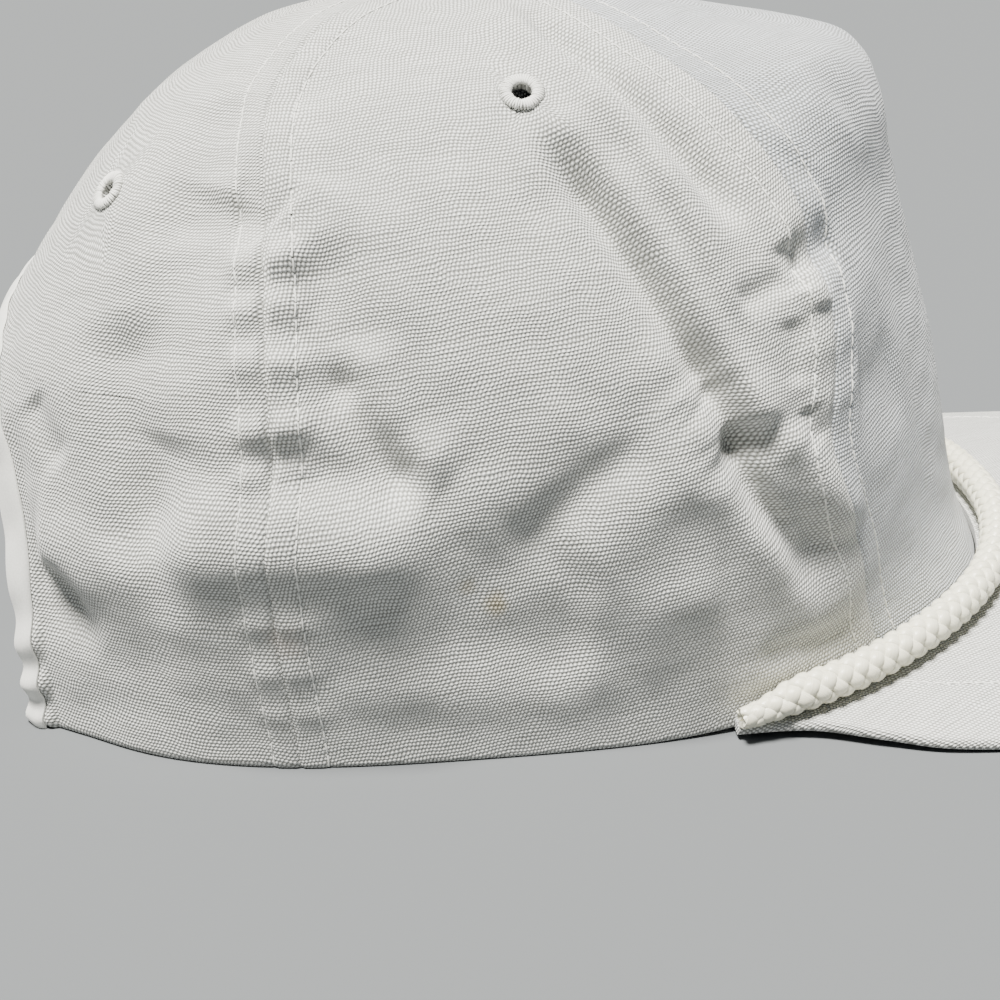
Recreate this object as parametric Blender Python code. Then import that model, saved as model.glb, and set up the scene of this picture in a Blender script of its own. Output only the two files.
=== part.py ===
"""White cotton rope hat, built as sewn panels, a brim, a rope and small trims.

Frame: the front of the hat faces -Y, the wearer's left is +X, +Z is up and
the floor is z = 0. Lengths are metres in the file; the named sizes below are
in millimetres and turned to metres by MM.

The crown is one surface. A place on it is (angle, climb): angle is the plan
angle from the front centre, plus on the wearer's right; climb runs from 0 at
the rim to 1 at the top. All panels, seams and folds are read from it.
"""
import math

import bpy
import numpy as np

MM = 0.001

# Crown, in mm.
CROWN_HEIGHT = 133.0
CROWN_FRONT = 101.5
CROWN_BACK = 100.5
CROWN_HALF_WIDTH = 79.5
CROWN_AXIS = -6.0
FRONT_SQUARENESS = 2.45
BACK_SQUARENESS = 3.0
CLOTH = 1.4
SEAM_GAP = 0.3
TOP_CLIMB = 0.993

# Back opening, in degrees of plan angle, share of the climb, and mm.
OPENING_HALF_ANGLE = 28.0
OPENING_CLIMB = 0.50
OPENING_SQUARENESS = 2.5
OPENING_FLARE = 4.0
BINDING_REACH = (-0.03, 0.06, 0.15)
BINDING_CLOTH = 0.9

# Brim, in mm.
BRIM_HALF_WIDTH = 91.5
BRIM_ARCH = 12.9
BRIM_CLOTH = 2.2
BRIM_START = 36.0
BRIM_ARCH_FROM = 15.0
BRIM_ARCH_FULL = 85.0

# Rope, button, eyelets and strap, in mm.
ROPE_RADIUS = 3.4
ROPE_POINTS = 46
ROPE_TAPER = 0.07
BUTTON_RADIUS = 7.0
BUTTON_HEIGHT = 4.4
BUTTON_SEAT = -0.1
EYELET_OUTER = 3.9
EYELET_HOLE = 1.9
EYELET_RISE = 1.1
STRAP_WIDTH = 19.0
STRAP_LIFT = 3.0
STRAP_CLOTH = 1.4

# Profile of the crown at the sides and back: climb, radius share, height share.
DOME = np.array([
    (0.00, 1.000, 0.000),
    (0.13, 1.000, 0.130),
    (0.27, 1.000, 0.270),
    (0.41, 0.986, 0.420),
    (0.53, 0.943, 0.550),
    (0.64, 0.855, 0.670),
    (0.75, 0.735, 0.785),
    (0.86, 0.560, 0.890),
    (0.94, 0.295, 0.968),
    (1.00, 0.000, 1.000),
])

# Profile of the upright front panel: climb, radius share, height share.
FRONT = np.array([
    (0.00, 1.000, 0.000),
    (0.10, 0.950, 0.110),
    (0.22, 0.922, 0.250),
    (0.33, 0.898, 0.370),
    (0.43, 0.868, 0.475),
    (0.53, 0.832, 0.590),
    (0.63, 0.804, 0.700),
    (0.71, 0.778, 0.800),
    (0.76, 0.743, 0.858),
    (0.80, 0.693, 0.888),
    (0.86, 0.520, 0.920),
    (0.94, 0.250, 0.973),
    (1.00, 0.000, 1.000),
])

# Outline of the brim: distance ahead of the centre, half width.
BRIM_OUTLINE = np.array([
    (36.0, 79.4),
    (50.0, 81.0),
    (62.0, 86.0),
    (75.0, 90.0),
    (100.0, 91.5),
    (125.0, 90.0),
    (143.0, 82.0),
    (156.0, 67.0),
    (165.0, 45.0),
    (170.0, 22.0),
    (171.0, 0.0),
])

# Seam between front and side panels: climb, angle.
FRONT_SEAM = np.array([
    (0.00, 51.0),
    (0.19, 54.8),
    (0.38, 59.6),
    (0.50, 57.0),
    (0.63, 55.0),
    (0.80, 57.6),
    (0.90, 58.5),
    (1.00, 56.0),
])

# Seam between side and back panels: climb, angle.
SIDE_SEAM = np.array([
    (0.00, 105.0),
    (0.30, 106.2),
    (0.43, 105.6),
    (0.55, 106.8),
    (0.70, 110.8),
    (0.80, 116.3),
    (0.90, 124.0),
    (1.00, 127.0),
])

# Folds of the cloth: angle and climb at the start, middle and end, then the
# half width and the push along the surface normal, both in mm (minus is in).
FOLDS = (
    ("crease_by_front_seam", 78.0, 0.935, 70.5, 0.82, 64.5, 0.63, 3.2, -2.6),
    ("ridge_by_crease", 86.0, 0.945, 74.0, 0.81, 69.0, 0.56, 4.8, 2.2),
    ("long_valley_upper", 82.0, 0.80, 76.5, 0.62, 72.0, 0.43, 8.0, -4.6),
    ("long_valley_lower", 72.0, 0.43, 68.0, 0.33, 58.5, 0.14, 6.0, -5.0),
    ("long_valley_twin", 69.5, 0.45, 65.0, 0.34, 59.5, 0.17, 3.0, -1.5),
    ("ridge_behind_valley", 75.0, 0.50, 70.0, 0.33, 54.5, 0.09, 7.0, 3.2),
    ("ridge_before_valley", 66.5, 0.43, 62.0, 0.34, 54.5, 0.23, 4.5, 2.4),
    ("slanting_valley", 91.0, 0.28, 85.5, 0.38, 76.0, 0.49, 6.0, -2.4),
    ("slanting_ridge", 92.0, 0.32, 88.8, 0.41, 84.0, 0.50, 7.0, 2.0),
    ("band_by_side_seam", 105.0, 0.68, 97.5, 0.56, 92.0, 0.40, 7.0, -3.0),
    ("level_ridge", 124.0, 0.365, 108.0, 0.372, 91.0, 0.34, 8.0, 3.4),
    ("level_hollow", 124.0, 0.26, 108.0, 0.27, 91.0, 0.29, 8.0, -2.4),
    ("back_valley", 133.0, 0.60, 125.0, 0.46, 118.0, 0.30, 7.0, -3.4),
    ("hem_valley", 152.0, 0.46, 149.0, 0.28, 135.0, 0.18, 6.0, -2.6),
    ("front_seam_dent", 60.0, 0.61, 55.0, 0.60, 50.0, 0.60, 5.0, -2.4),
    ("rope_crease", 70.0, 0.10, 63.0, 0.09, 55.0, 0.08, 3.5, -1.4),
    ("upper_seam_dent", 118.0, 0.72, 112.0, 0.715, 108.0, 0.70, 6.0, -2.0),
    ("back_soft_dent", 128.0, 0.85, 128.0, 0.76, 124.0, 0.66, 6.0, -1.8),
)
LEFT_FOLD_SHARE = 0.45
FOLD_MIN_WIDTH = 4.4
FOLD_SAMPLES = 25
FOLD_FADE = (0.06, 0.15)

# Eyelets: node name, angle, climb.
EYELETS = (
    ("eyelet_side_right", 85.2, 0.834),
    ("eyelet_side_left", -85.2, 0.834),
    ("eyelet_back_right", 148.2, 0.718),
    ("eyelet_back_left", -148.2, 0.718),
)

# Rows and columns of the faceted panels.
PANEL_ROWS = 24
FRONT_COLUMNS = 20
SIDE_COLUMNS = 16
BACK_COLUMNS = 10
OPENING_ROWS = 9
BRIM_COLUMNS = 36
BRIM_ROWS = 6

# Finishes: name, base colour in linear light, roughness.
FINISHES = {
    "white_canvas": ((0.78, 0.78, 0.75, 1.0), 0.9),
    "ivory_cord": ((0.80, 0.79, 0.68, 1.0), 0.45),
    "white_tape": ((0.84, 0.84, 0.82, 1.0), 0.7),
    "white_thread": ((0.82, 0.82, 0.79, 1.0), 0.8),
}


def clear_objects():
    """Remove every object of the starting file."""
    for item in list(bpy.data.objects):
        bpy.data.objects.remove(item, do_unlink=True)


def finish(name):
    """Return the named material, made on first use."""
    known = bpy.data.materials.get(name)
    if known:
        return known
    colour, roughness = FINISHES[name]
    material = bpy.data.materials.new(name)
    material.use_nodes = True
    shader = material.node_tree.nodes["Principled BSDF"]
    shader.inputs["Base Color"].default_value = colour
    shader.inputs["Roughness"].default_value = roughness
    return material


def table(x, rows, column):
    """Read a smooth curve through one column of a table."""
    keys = rows[:, 0]
    values = rows[:, column]
    slopes = np.gradient(values, keys)
    x = np.clip(np.asarray(x, float), keys[0], keys[-1])
    i = np.clip(np.searchsorted(keys, x, side="right") - 1, 0, len(keys) - 2)
    h = keys[i + 1] - keys[i]
    s = (x - keys[i]) / h
    a = (2 * s ** 3 - 3 * s ** 2 + 1) * values[i]
    b = (s ** 3 - 2 * s ** 2 + s) * h * slopes[i]
    c = (3 * s ** 2 - 2 * s ** 3) * values[i + 1]
    d = (s ** 3 - s ** 2) * h * slopes[i + 1]
    return a + b + c + d


def ease(x, low, high):
    """Smooth step from 0 at low to 1 at high."""
    k = np.clip((np.asarray(x, float) - low) / (high - low), 0.0, 1.0)
    return k * k * (3.0 - 2.0 * k)


def plan(angle):
    """Rim outline: distance ahead of the centre and to the wearer's right."""
    c = np.cos(np.radians(angle))
    s = np.sin(np.radians(angle))
    front = c >= 0
    power = np.where(front, FRONT_SQUARENESS, BACK_SQUARENESS)
    reach = np.where(front, CROWN_FRONT - CROWN_AXIS, CROWN_BACK + CROWN_AXIS)
    ahead = CROWN_AXIS + reach * np.sign(c) * np.abs(c) ** (2 / power)
    side = CROWN_HALF_WIDTH * np.sign(s) * np.abs(s) ** (2 / power)
    return ahead, side


def brim_height(ahead, side):
    """Height of the brim's underside and of the rim where the brim joins."""
    share = ease(ahead, BRIM_ARCH_FROM, BRIM_ARCH_FULL)
    return share * BRIM_ARCH * (1 - (side / BRIM_HALF_WIDTH) ** 2)


def opening_edge(climb):
    """Angle from the back centre to the opening's edge at a climb."""
    share = np.clip(climb / OPENING_CLIMB, 0.0, 1.0) ** OPENING_SQUARENESS
    return OPENING_HALF_ANGLE * (1 - share) ** (1 / OPENING_SQUARENESS)


def opening_flare(angle, climb):
    """Outward push of the cloth beside the back opening, in mm."""
    across = np.abs(180.0 - np.abs(angle)) / OPENING_HALF_ANGLE
    along = climb / OPENING_CLIMB
    power = OPENING_SQUARENESS
    far = (across ** power + along ** power) ** (1 / power) - 1.0
    return OPENING_FLARE * np.exp(-(far / 0.35) ** 2)


def smooth_crown(angle, climb):
    """Crown surface without folds, as points in mm."""
    angle = np.asarray(angle, float)
    climb = np.asarray(climb, float)
    ahead, side = plan(angle)
    rim = brim_height(ahead, side)
    upright = 1 - ease(np.abs(angle), 30.0, 66.0)
    radius = upright * table(climb, FRONT, 1) + (1 - upright) * table(climb, DOME, 1)
    height = upright * table(climb, FRONT, 2) + (1 - upright) * table(climb, DOME, 2)
    flare = 1 + opening_flare(angle, climb) / 95.0
    ahead = CROWN_AXIS + (ahead - CROWN_AXIS) * radius * flare
    side = side * radius * flare
    return np.stack([-side, -ahead, rim + (CROWN_HEIGHT - rim) * height], -1)


def crown_normal(surface, angle, climb, step=0.4):
    """Outward unit normal of a surface function of angle and climb."""
    lift = 0.004
    low = np.clip(climb - lift, 0.0, 0.995)
    high = np.clip(climb + lift, 0.0, 0.995)
    along = surface(angle + step, climb) - surface(angle - step, climb)
    up = surface(angle, high) - surface(angle, low)
    normal = np.cross(up, along)
    return normal / np.linalg.norm(normal, axis=-1, keepdims=True)


def fold_lines():
    """Points on the smooth crown along each fold, with width and push."""
    lines = []
    k = np.linspace(0.0, 1.0, FOLD_SAMPLES)
    for _, a0, c0, a1, c1, a2, c2, width, push in FOLDS:
        if width < FOLD_MIN_WIDTH:
            continue
        angle = (1 - k) ** 2 * a0 + 2 * k * (1 - k) * (2 * a1 - (a0 + a2) / 2) + k ** 2 * a2
        climb = (1 - k) ** 2 * c0 + 2 * k * (1 - k) * (2 * c1 - (c0 + c2) / 2) + k ** 2 * c2
        for sign, share in ((1.0, 1.0), (-1.0, LEFT_FOLD_SHARE)):
            points = smooth_crown(sign * angle, climb)
            lines.append((points, k, width, push * share))
    return lines


FOLD_LINES = []


def fold_push(points, climb):
    """Push along the normal at points of the smooth crown, in mm."""
    total = np.zeros(points.shape[:-1])
    for line, k, width, push in FOLD_LINES:
        gap = np.linalg.norm(points[..., None, :] - line, axis=-1)
        near = np.argmin(gap, axis=-1)
        distance = np.min(gap, axis=-1)
        along = k[near]
        taper = ease(along, 0.0, 0.25) * (1 - ease(along, 0.75, 1.0)) * 0.8 + 0.2
        total = total + push * taper * np.exp(-(distance / width) ** 2)
    return total * ease(climb, FOLD_FADE[0], FOLD_FADE[1])


def crown(angle, climb):
    """Crown surface with its folds, as points in mm."""
    angle = np.asarray(angle, float)
    climb = np.asarray(climb, float)
    points = smooth_crown(angle, climb)
    normal = crown_normal(smooth_crown, angle, climb)
    return points + normal * fold_push(points, climb)[..., None]


def seam_angle(rows, climb, side, toward):
    """Angle of a panel's edge: the seam less half the gap, in degrees."""
    angle = table(climb, rows, 1)
    reach = smooth_crown(angle + 0.5, climb) - smooth_crown(angle - 0.5, climb)
    degrees = 0.5 * SEAM_GAP / np.linalg.norm(reach, axis=-1)
    return side * (angle + toward * degrees)


def back_seam_share(climb):
    """Half the gap of the back centre seam, in degrees of plan angle."""
    width = CROWN_HALF_WIDTH * np.maximum(table(climb, DOME, 1), 0.02)
    return np.degrees((0.5 * SEAM_GAP / width) ** (BACK_SQUARENESS / 2))


def add_mesh(name, points, faces, material):
    """Make one object from points in mm and faces, with a finish."""
    mesh = bpy.data.meshes.new(name)
    mesh.from_pydata([tuple(p * MM) for p in np.asarray(points, float)], [], faces)
    mesh.update()
    item = bpy.data.objects.new(name, mesh)
    bpy.context.scene.collection.objects.link(item)
    mesh.materials.append(finish(material))
    mesh.shade_smooth()
    mesh.set_sharp_from_angle(angle=math.radians(42))
    return item


def shell(name, outer, inner, material):
    """Closed sheet between two grids of points, open on no side."""
    rows, columns = outer.shape[:2]
    points = np.concatenate([outer.reshape(-1, 3), inner.reshape(-1, 3)])
    half = rows * columns
    faces = []

    def at(i, j, layer):
        return layer * half + i * columns + j

    for i in range(rows - 1):
        for j in range(columns - 1):
            faces.append((at(i, j, 0), at(i, j + 1, 0), at(i + 1, j + 1, 0), at(i + 1, j, 0)))
            faces.append((at(i, j, 1), at(i + 1, j, 1), at(i + 1, j + 1, 1), at(i, j + 1, 1)))
    for i in range(rows - 1):
        faces.append((at(i, 0, 0), at(i + 1, 0, 0), at(i + 1, 0, 1), at(i, 0, 1)))
        last = columns - 1
        faces.append((at(i, last, 0), at(i, last, 1), at(i + 1, last, 1), at(i + 1, last, 0)))
    for j in range(columns - 1):
        faces.append((at(0, j, 0), at(0, j, 1), at(0, j + 1, 1), at(0, j + 1, 0)))
        last = rows - 1
        faces.append((at(last, j, 0), at(last, j + 1, 0), at(last, j + 1, 1), at(last, j, 1)))
    if signed_volume(points, faces) < 0:
        faces = [tuple(reversed(face)) for face in faces]
    return add_mesh(name, points, faces, material)


def signed_volume(points, faces):
    """Volume inside the faces, plus when they face outward."""
    total = 0.0
    for face in faces:
        a = points[face[0]]
        for k in range(1, len(face) - 1):
            total += np.dot(a, np.cross(points[face[k]], points[face[k + 1]]))
    return total / 6.0


def even_angles(left, right, climb, columns):
    """Angles from left to right that lie evenly along the crown at a climb."""
    fine = np.linspace(left, right, 241)
    points = smooth_crown(fine, np.full_like(fine, min(climb, 0.95)))
    run = np.concatenate([[0.0], np.cumsum(np.linalg.norm(np.diff(points, axis=0), axis=1))])
    return np.interp(np.linspace(0.0, run[-1], columns + 1), run, fine)


def crown_panel(name, left, right, climbs, columns):
    """Panel between two edge angles given for each climb."""
    rows = [even_angles(a, b, c, columns) for a, b, c in zip(left, right, climbs)]
    angle = np.stack(rows)
    climb = np.repeat(climbs[:, None], columns + 1, axis=1)
    outer = crown(angle, climb)
    normal = crown_normal(crown, angle, climb)
    inner = outer - normal * CLOTH
    inner[0, :, 2] = outer[0, :, 2]
    return shell(name, outer, inner, "white_canvas")


def build_crown():
    """Build the five crown panels."""
    climbs = TOP_CLIMB * np.linspace(0.0, 1.0, PANEL_ROWS + 1)
    items = []
    edge = seam_angle(FRONT_SEAM, climbs, 1.0, -1.0)
    items.append(crown_panel("front_panel", -edge, edge, climbs, FRONT_COLUMNS))
    steps = np.linspace(0.0, math.pi / 2, OPENING_ROWS + 1)
    low = OPENING_CLIMB * np.sin(steps) ** (2 / OPENING_SQUARENESS)
    high = np.linspace(OPENING_CLIMB, TOP_CLIMB, PANEL_ROWS - OPENING_ROWS)[1:]
    back_climbs = np.concatenate([low, high])
    for side, word in ((1.0, "right"), (-1.0, "left")):
        front = seam_angle(FRONT_SEAM, climbs, side, 1.0)
        rear = seam_angle(SIDE_SEAM, climbs, side, -1.0)
        items.append(crown_panel("side_panel_" + word, front, rear, climbs, SIDE_COLUMNS))
        front = seam_angle(SIDE_SEAM, back_climbs, side, 1.0)
        rear = side * (180.0 - opening_edge(back_climbs) - back_seam_share(back_climbs))
        items.append(crown_panel("back_panel_" + word, front, rear, back_climbs, BACK_COLUMNS))
    return items


def build_binding():
    """Build the tape along the edge of the back opening, as one strip."""
    steps = np.linspace(0.0, math.pi, 2 * OPENING_ROWS + 9)
    power = 2 / OPENING_SQUARENESS
    rows = []
    for grow in BINDING_REACH:
        across = np.cos(steps)
        across = np.sign(across) * np.abs(across) ** power
        angle = 180.0 - OPENING_HALF_ANGLE * (1 + grow) * across
        climb = OPENING_CLIMB * (1 + grow) * np.sin(steps) ** power
        rows.append((angle, np.clip(climb, 0.001, 1.0)))
    angle = np.stack([r[0] for r in rows])
    climb = np.stack([r[1] for r in rows])
    base = crown(angle, climb)
    normal = crown_normal(crown, angle, climb)
    low = base + normal * SEAM_GAP
    high = base + normal * (SEAM_GAP + BINDING_CLOTH)
    return shell("opening_binding", high, low, "white_tape")


def brim_inner(count):
    """Joint between brim and crown: angles and points ahead and aside."""
    angles = np.linspace(20.0, 89.0, 400)
    ahead, _ = plan(angles)
    end = float(np.interp(-BRIM_START, -ahead, angles))
    angle = np.linspace(-end, end, count)
    return angle


def offset_rim(angle, out):
    """Rim outline pushed outward in plan by a distance in mm."""
    ahead, side = plan(angle)
    more = plan(angle + 0.05)
    less = plan(angle - 0.05)
    run = np.stack([more[0] - less[0], more[1] - less[1]], -1)
    run = run / np.linalg.norm(run, axis=-1, keepdims=True)
    return ahead - out * -run[..., 1], side - out * run[..., 0]


def build_brim():
    """Build the brim as one arched sheet from the joint to its outline."""
    angle = brim_inner(BRIM_COLUMNS + 1)
    inner_ahead, inner_side = offset_rim(angle, SEAM_GAP)
    key = np.arange(len(BRIM_OUTLINE), dtype=float)
    rows = np.column_stack([key, BRIM_OUTLINE])
    share = np.linspace(-1.0, 1.0, BRIM_COLUMNS + 1)
    place = (1 - np.abs(share) ** 1.15) * key[-1]
    outer_ahead = table(place, rows, 1)
    outer_side = np.sign(share) * table(place, rows, 2)
    k = np.linspace(0.0, 1.0, BRIM_ROWS + 1)[:, None]
    ahead = inner_ahead * (1 - k) + outer_ahead * k
    side = inner_side * (1 - k) + outer_side * k
    low = brim_height(ahead, side)
    bottom = np.stack([-side, -ahead, low], -1)
    top = np.stack([-side, -ahead, low + BRIM_CLOTH], -1)
    return shell("brim", top, bottom, "white_canvas")


def build_rope():
    """Build the cord that lies on the joint between brim and crown."""
    angle = brim_inner(ROPE_POINTS)
    ahead, side = offset_rim(angle, SEAM_GAP + ROPE_RADIUS)
    height = brim_height(ahead, side) + BRIM_CLOTH + SEAM_GAP + ROPE_RADIUS
    share = np.linspace(0.0, 1.0, ROPE_POINTS)
    ends = np.minimum(share, 1 - share) / ROPE_TAPER
    radius = 0.45 + 0.55 * ease(ends, 0.0, 1.0)
    curve = bpy.data.curves.new("rope", "CURVE")
    curve.dimensions = "3D"
    curve.bevel_depth = ROPE_RADIUS * MM
    curve.bevel_resolution = 2
    curve.use_fill_caps = True
    spline = curve.splines.new("POLY")
    spline.points.add(ROPE_POINTS - 1)
    for point, a, s, h, r in zip(spline.points, ahead, side, height, radius):
        drop = ROPE_RADIUS * (1 - r)
        point.co = (-s * MM, -a * MM, (h - drop) * MM, 1.0)
        point.radius = r
    item = bpy.data.objects.new("rope", curve)
    bpy.context.scene.collection.objects.link(item)
    curve.materials.append(finish("ivory_cord"))
    return item


def turned(name, profile, centre, axis, count, material, closed_ring):
    """Solid of revolution from a profile of (radius, height) pairs in mm."""
    axis = axis / np.linalg.norm(axis)
    helper = np.array([0.0, 0.0, 1.0]) if abs(axis[2]) < 0.9 else np.array([1.0, 0.0, 0.0])
    u = np.cross(helper, axis)
    u = u / np.linalg.norm(u)
    v = np.cross(axis, u)
    points = []
    faces = []
    for radius, height in profile:
        for k in range(count):
            turn = 2 * math.pi * k / count
            spoke = math.cos(turn) * u + math.sin(turn) * v
            points.append(centre + radius * spoke + height * axis)
    rows = len(profile)
    last = rows if closed_ring else rows - 1
    for i in range(last):
        for k in range(count):
            m = (k + 1) % count
            n = (i + 1) % rows
            faces.append((i * count + k, i * count + m, n * count + m, n * count + k))
    if not closed_ring:
        faces.append(tuple(reversed(range(count))))
        faces.append(tuple(range((rows - 1) * count, rows * count)))
    points = np.array(points)
    if signed_volume(points, faces) < 0:
        faces = [tuple(reversed(face)) for face in faces]
    return add_mesh(name, points, faces, material)


def build_button():
    """Build the cloth covered button on the top of the crown."""
    low = CROWN_HEIGHT + BUTTON_SEAT
    profile = [(1.0, CROWN_HEIGHT + SEAM_GAP)]
    for share in (0.0, 0.2, 0.45, 0.7, 0.9):
        turn = share * math.pi / 2
        profile.append((BUTTON_RADIUS * math.cos(turn) ** 0.7, low + BUTTON_HEIGHT * math.sin(turn)))
    centre = np.array([0.0, -CROWN_AXIS, 0.0])
    up = np.array([0.0, 0.0, 1.0])
    return turned("top_button", profile, centre, up, 20, "white_canvas", False)


def build_eyelets():
    """Build the four sewn rings around the vent holes."""
    items = []
    for name, angle, climb in EYELETS:
        centre = crown(np.array([angle]), np.array([climb]))[0]
        normal = crown_normal(crown, np.array([angle]), np.array([climb]))[0]
        middle = (EYELET_OUTER + EYELET_HOLE) / 2
        half = (EYELET_OUTER - EYELET_HOLE) / 2
        profile = []
        for k in range(6):
            turn = math.pi * 2 * k / 6
            rise = SEAM_GAP + 0.15 + EYELET_RISE / 2 * (1 + math.sin(turn))
            profile.append((middle + half * math.cos(turn), rise))
        items.append(turned(name, profile, centre, normal, 18, "white_thread", True))
    return items


def build_strap():
    """Build the plain strap that closes the foot of the back opening."""
    reach = OPENING_HALF_ANGLE + 7.0
    angle = np.linspace(180.0 - reach, 180.0 + reach, 19)
    inset = CLOTH + SEAM_GAP + 0.5
    rows = []
    for depth in (inset, inset + STRAP_CLOTH):
        grid = []
        for lift in (STRAP_LIFT, STRAP_LIFT + STRAP_WIDTH / 2, STRAP_LIFT + STRAP_WIDTH):
            climb = np.full_like(angle, lift / CROWN_HEIGHT)
            base = crown(angle, climb)
            base = base - crown_normal(crown, angle, climb) * depth
            base[:, 2] = lift
            grid.append(base)
        rows.append(np.stack(grid))
    return shell("back_strap", rows[0], rows[1], "white_canvas")


def settle():
    """Put the box's bottom centre at the origin, with the floor at z = 0."""
    low = np.full(3, 1e9)
    high = np.full(3, -1e9)
    graph = bpy.context.evaluated_depsgraph_get()
    for item in bpy.context.scene.objects:
        shape = item.evaluated_get(graph).to_mesh()
        count = len(shape.vertices)
        flat = np.empty(count * 3)
        shape.vertices.foreach_get("co", flat)
        flat = flat.reshape(-1, 3)
        low = np.minimum(low, flat.min(axis=0))
        high = np.maximum(high, flat.max(axis=0))
        item.evaluated_get(graph).to_mesh_clear()
    shift = np.array([-(low[0] + high[0]) / 2, -(low[1] + high[1]) / 2, -low[2]])
    for item in bpy.context.scene.objects:
        if item.type == "MESH":
            for vertex in item.data.vertices:
                vertex.co.x += shift[0]
                vertex.co.y += shift[1]
                vertex.co.z += shift[2]
        else:
            for point in item.data.splines[0].points:
                x, y, z, w = point.co
                point.co = (x + shift[0], y + shift[1], z + shift[2], w)
    print("shift mm", [round(v / MM, 3) for v in shift])
    print("size mm", [round(v / MM, 2) for v in high - low])


def main():
    """Build every piece of the hat."""
    clear_objects()
    FOLD_LINES.extend(fold_lines())
    build_crown()
    build_binding()
    build_brim()
    build_rope()
    build_button()
    build_eyelets()
    build_strap()
    settle()


main()
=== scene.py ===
"""Looks of a white cotton rope hat: sewn canvas crown, flat brim and plaited cord.

The brim points to -Y, the wearer's left is +X, +Z is up and the floor is z = 0.
Lengths are worked in millimetres in the crown's own frame, whose origin is the
middle of the rim. SHIFT carries that frame to the row frame, and MM turns
millimetres to metres when a mesh is written.

A place on the crown is (angle, climb): angle is the plan angle from the front
centre, plus on the wearer's right, and climb runs from 0 at the rim to 1 at
the top. CLIMB_LENGTH is about the length of cloth in mm that one climb stands for.
"""
import logging
import math
from dataclasses import dataclass, field
from enum import Enum
from typing import Any, Callable, NamedTuple, Optional

import bpy
import numpy as np
from mathutils import Matrix, Vector


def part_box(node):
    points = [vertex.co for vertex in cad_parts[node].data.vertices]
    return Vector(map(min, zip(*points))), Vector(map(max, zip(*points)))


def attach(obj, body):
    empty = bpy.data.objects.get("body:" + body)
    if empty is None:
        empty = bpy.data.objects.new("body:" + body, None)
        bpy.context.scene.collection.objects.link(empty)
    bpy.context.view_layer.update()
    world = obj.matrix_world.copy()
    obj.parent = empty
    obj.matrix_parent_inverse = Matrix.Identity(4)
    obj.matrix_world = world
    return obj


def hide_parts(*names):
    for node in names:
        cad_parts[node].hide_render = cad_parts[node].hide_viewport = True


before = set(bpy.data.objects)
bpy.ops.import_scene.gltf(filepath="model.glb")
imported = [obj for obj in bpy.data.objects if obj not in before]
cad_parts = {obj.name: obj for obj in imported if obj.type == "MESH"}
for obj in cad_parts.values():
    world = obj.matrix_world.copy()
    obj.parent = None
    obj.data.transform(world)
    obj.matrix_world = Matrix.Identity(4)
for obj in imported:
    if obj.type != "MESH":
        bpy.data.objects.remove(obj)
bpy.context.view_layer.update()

logging.basicConfig(level=logging.INFO, format="%(message)s")
LOG = logging.getLogger("hat")

MM = 0.001
CLIMB_LENGTH = 150.0
STRAND_STEP = 0.45
Surface = Callable[[np.ndarray, np.ndarray], np.ndarray]


class Side(Enum):
    """A side of the hat, as the sign of its plan angles."""

    RIGHT = 1.0
    LEFT = -1.0


class Fold(NamedTuple):
    """A fold of the cloth, as a curve on the crown with a width and a push."""

    name: str
    angle0: float
    climb0: float
    angle1: float
    climb1: float
    angle2: float
    climb2: float
    half_width: float
    push: float
    power: float = 2.0


class Crease(NamedTuple):
    """A longer fold that follows many points, each an angle and a climb."""

    name: str
    route: tuple[tuple[float, float], ...]
    half_width: float
    push: float
    power: float = 2.0


class Pucker(NamedTuple):
    """A gather between two stitch rows: how far up it lies and how high it is."""

    climb: float
    rise: float
    half_length: float
    lean: float


class Vent(NamedTuple):
    """Place of a vent hole on the wearer's right."""

    angle: float
    climb: float

    def on(self, side: Side) -> tuple[float, float]:
        """The same place on one side."""
        return side.value * self.angle, self.climb


def curve_value(x: np.ndarray, rows: np.ndarray, column: int) -> np.ndarray:
    """Read a smooth curve through one column of a table.

    Args:
        x: Where to read, in the units of the table's first column.
        rows: Table with rising keys in its first column.
        column: Column to read.

    Returns:
        Values at x.
    """
    keys = rows[:, 0]
    values = rows[:, column]
    slopes = np.gradient(values, keys)
    x = np.clip(np.asarray(x, float), keys[0], keys[-1])
    i = np.clip(np.searchsorted(keys, x, side="right") - 1, 0, len(keys) - 2)
    h = keys[i + 1] - keys[i]
    s = (x - keys[i]) / h
    a = (2 * s**3 - 3 * s**2 + 1) * values[i]
    b = (s**3 - 2 * s**2 + s) * h * slopes[i]
    c = (3 * s**2 - 2 * s**3) * values[i + 1]
    d = (s**3 - s**2) * h * slopes[i + 1]
    return a + b + c + d


def ease(x: np.ndarray, low: float, high: float) -> np.ndarray:
    """Smooth step from 0 at low to 1 at high.

    Args:
        x: Where to read.
        low: Start of the step.
        high: End of the step.

    Returns:
        Values between 0 and 1.
    """
    k = np.clip((np.asarray(x, float) - low) / (high - low), 0.0, 1.0)
    return k * k * (3.0 - 2.0 * k)


def waves(points: np.ndarray, lengths: tuple[float, float], count: int, seed: int) -> np.ndarray:
    """Gentle uneven ripple in space, as a sum of plane waves.

    Args:
        points: Places in mm.
        lengths: Shortest and longest wave length in mm.
        count: Number of waves.
        seed: Seed of the random directions.

    Returns:
        Ripple at each place, mostly between -1 and 1.
    """
    rng = np.random.default_rng(seed)
    total = np.zeros(points.shape[:-1])
    for _ in range(count):
        way = rng.normal(size=3)
        way /= np.linalg.norm(way)
        length = rng.uniform(*lengths)
        total += np.sin(points @ (way * 2 * math.pi / length) + rng.uniform(0, 2 * math.pi))
    return total / math.sqrt(count)


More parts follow.
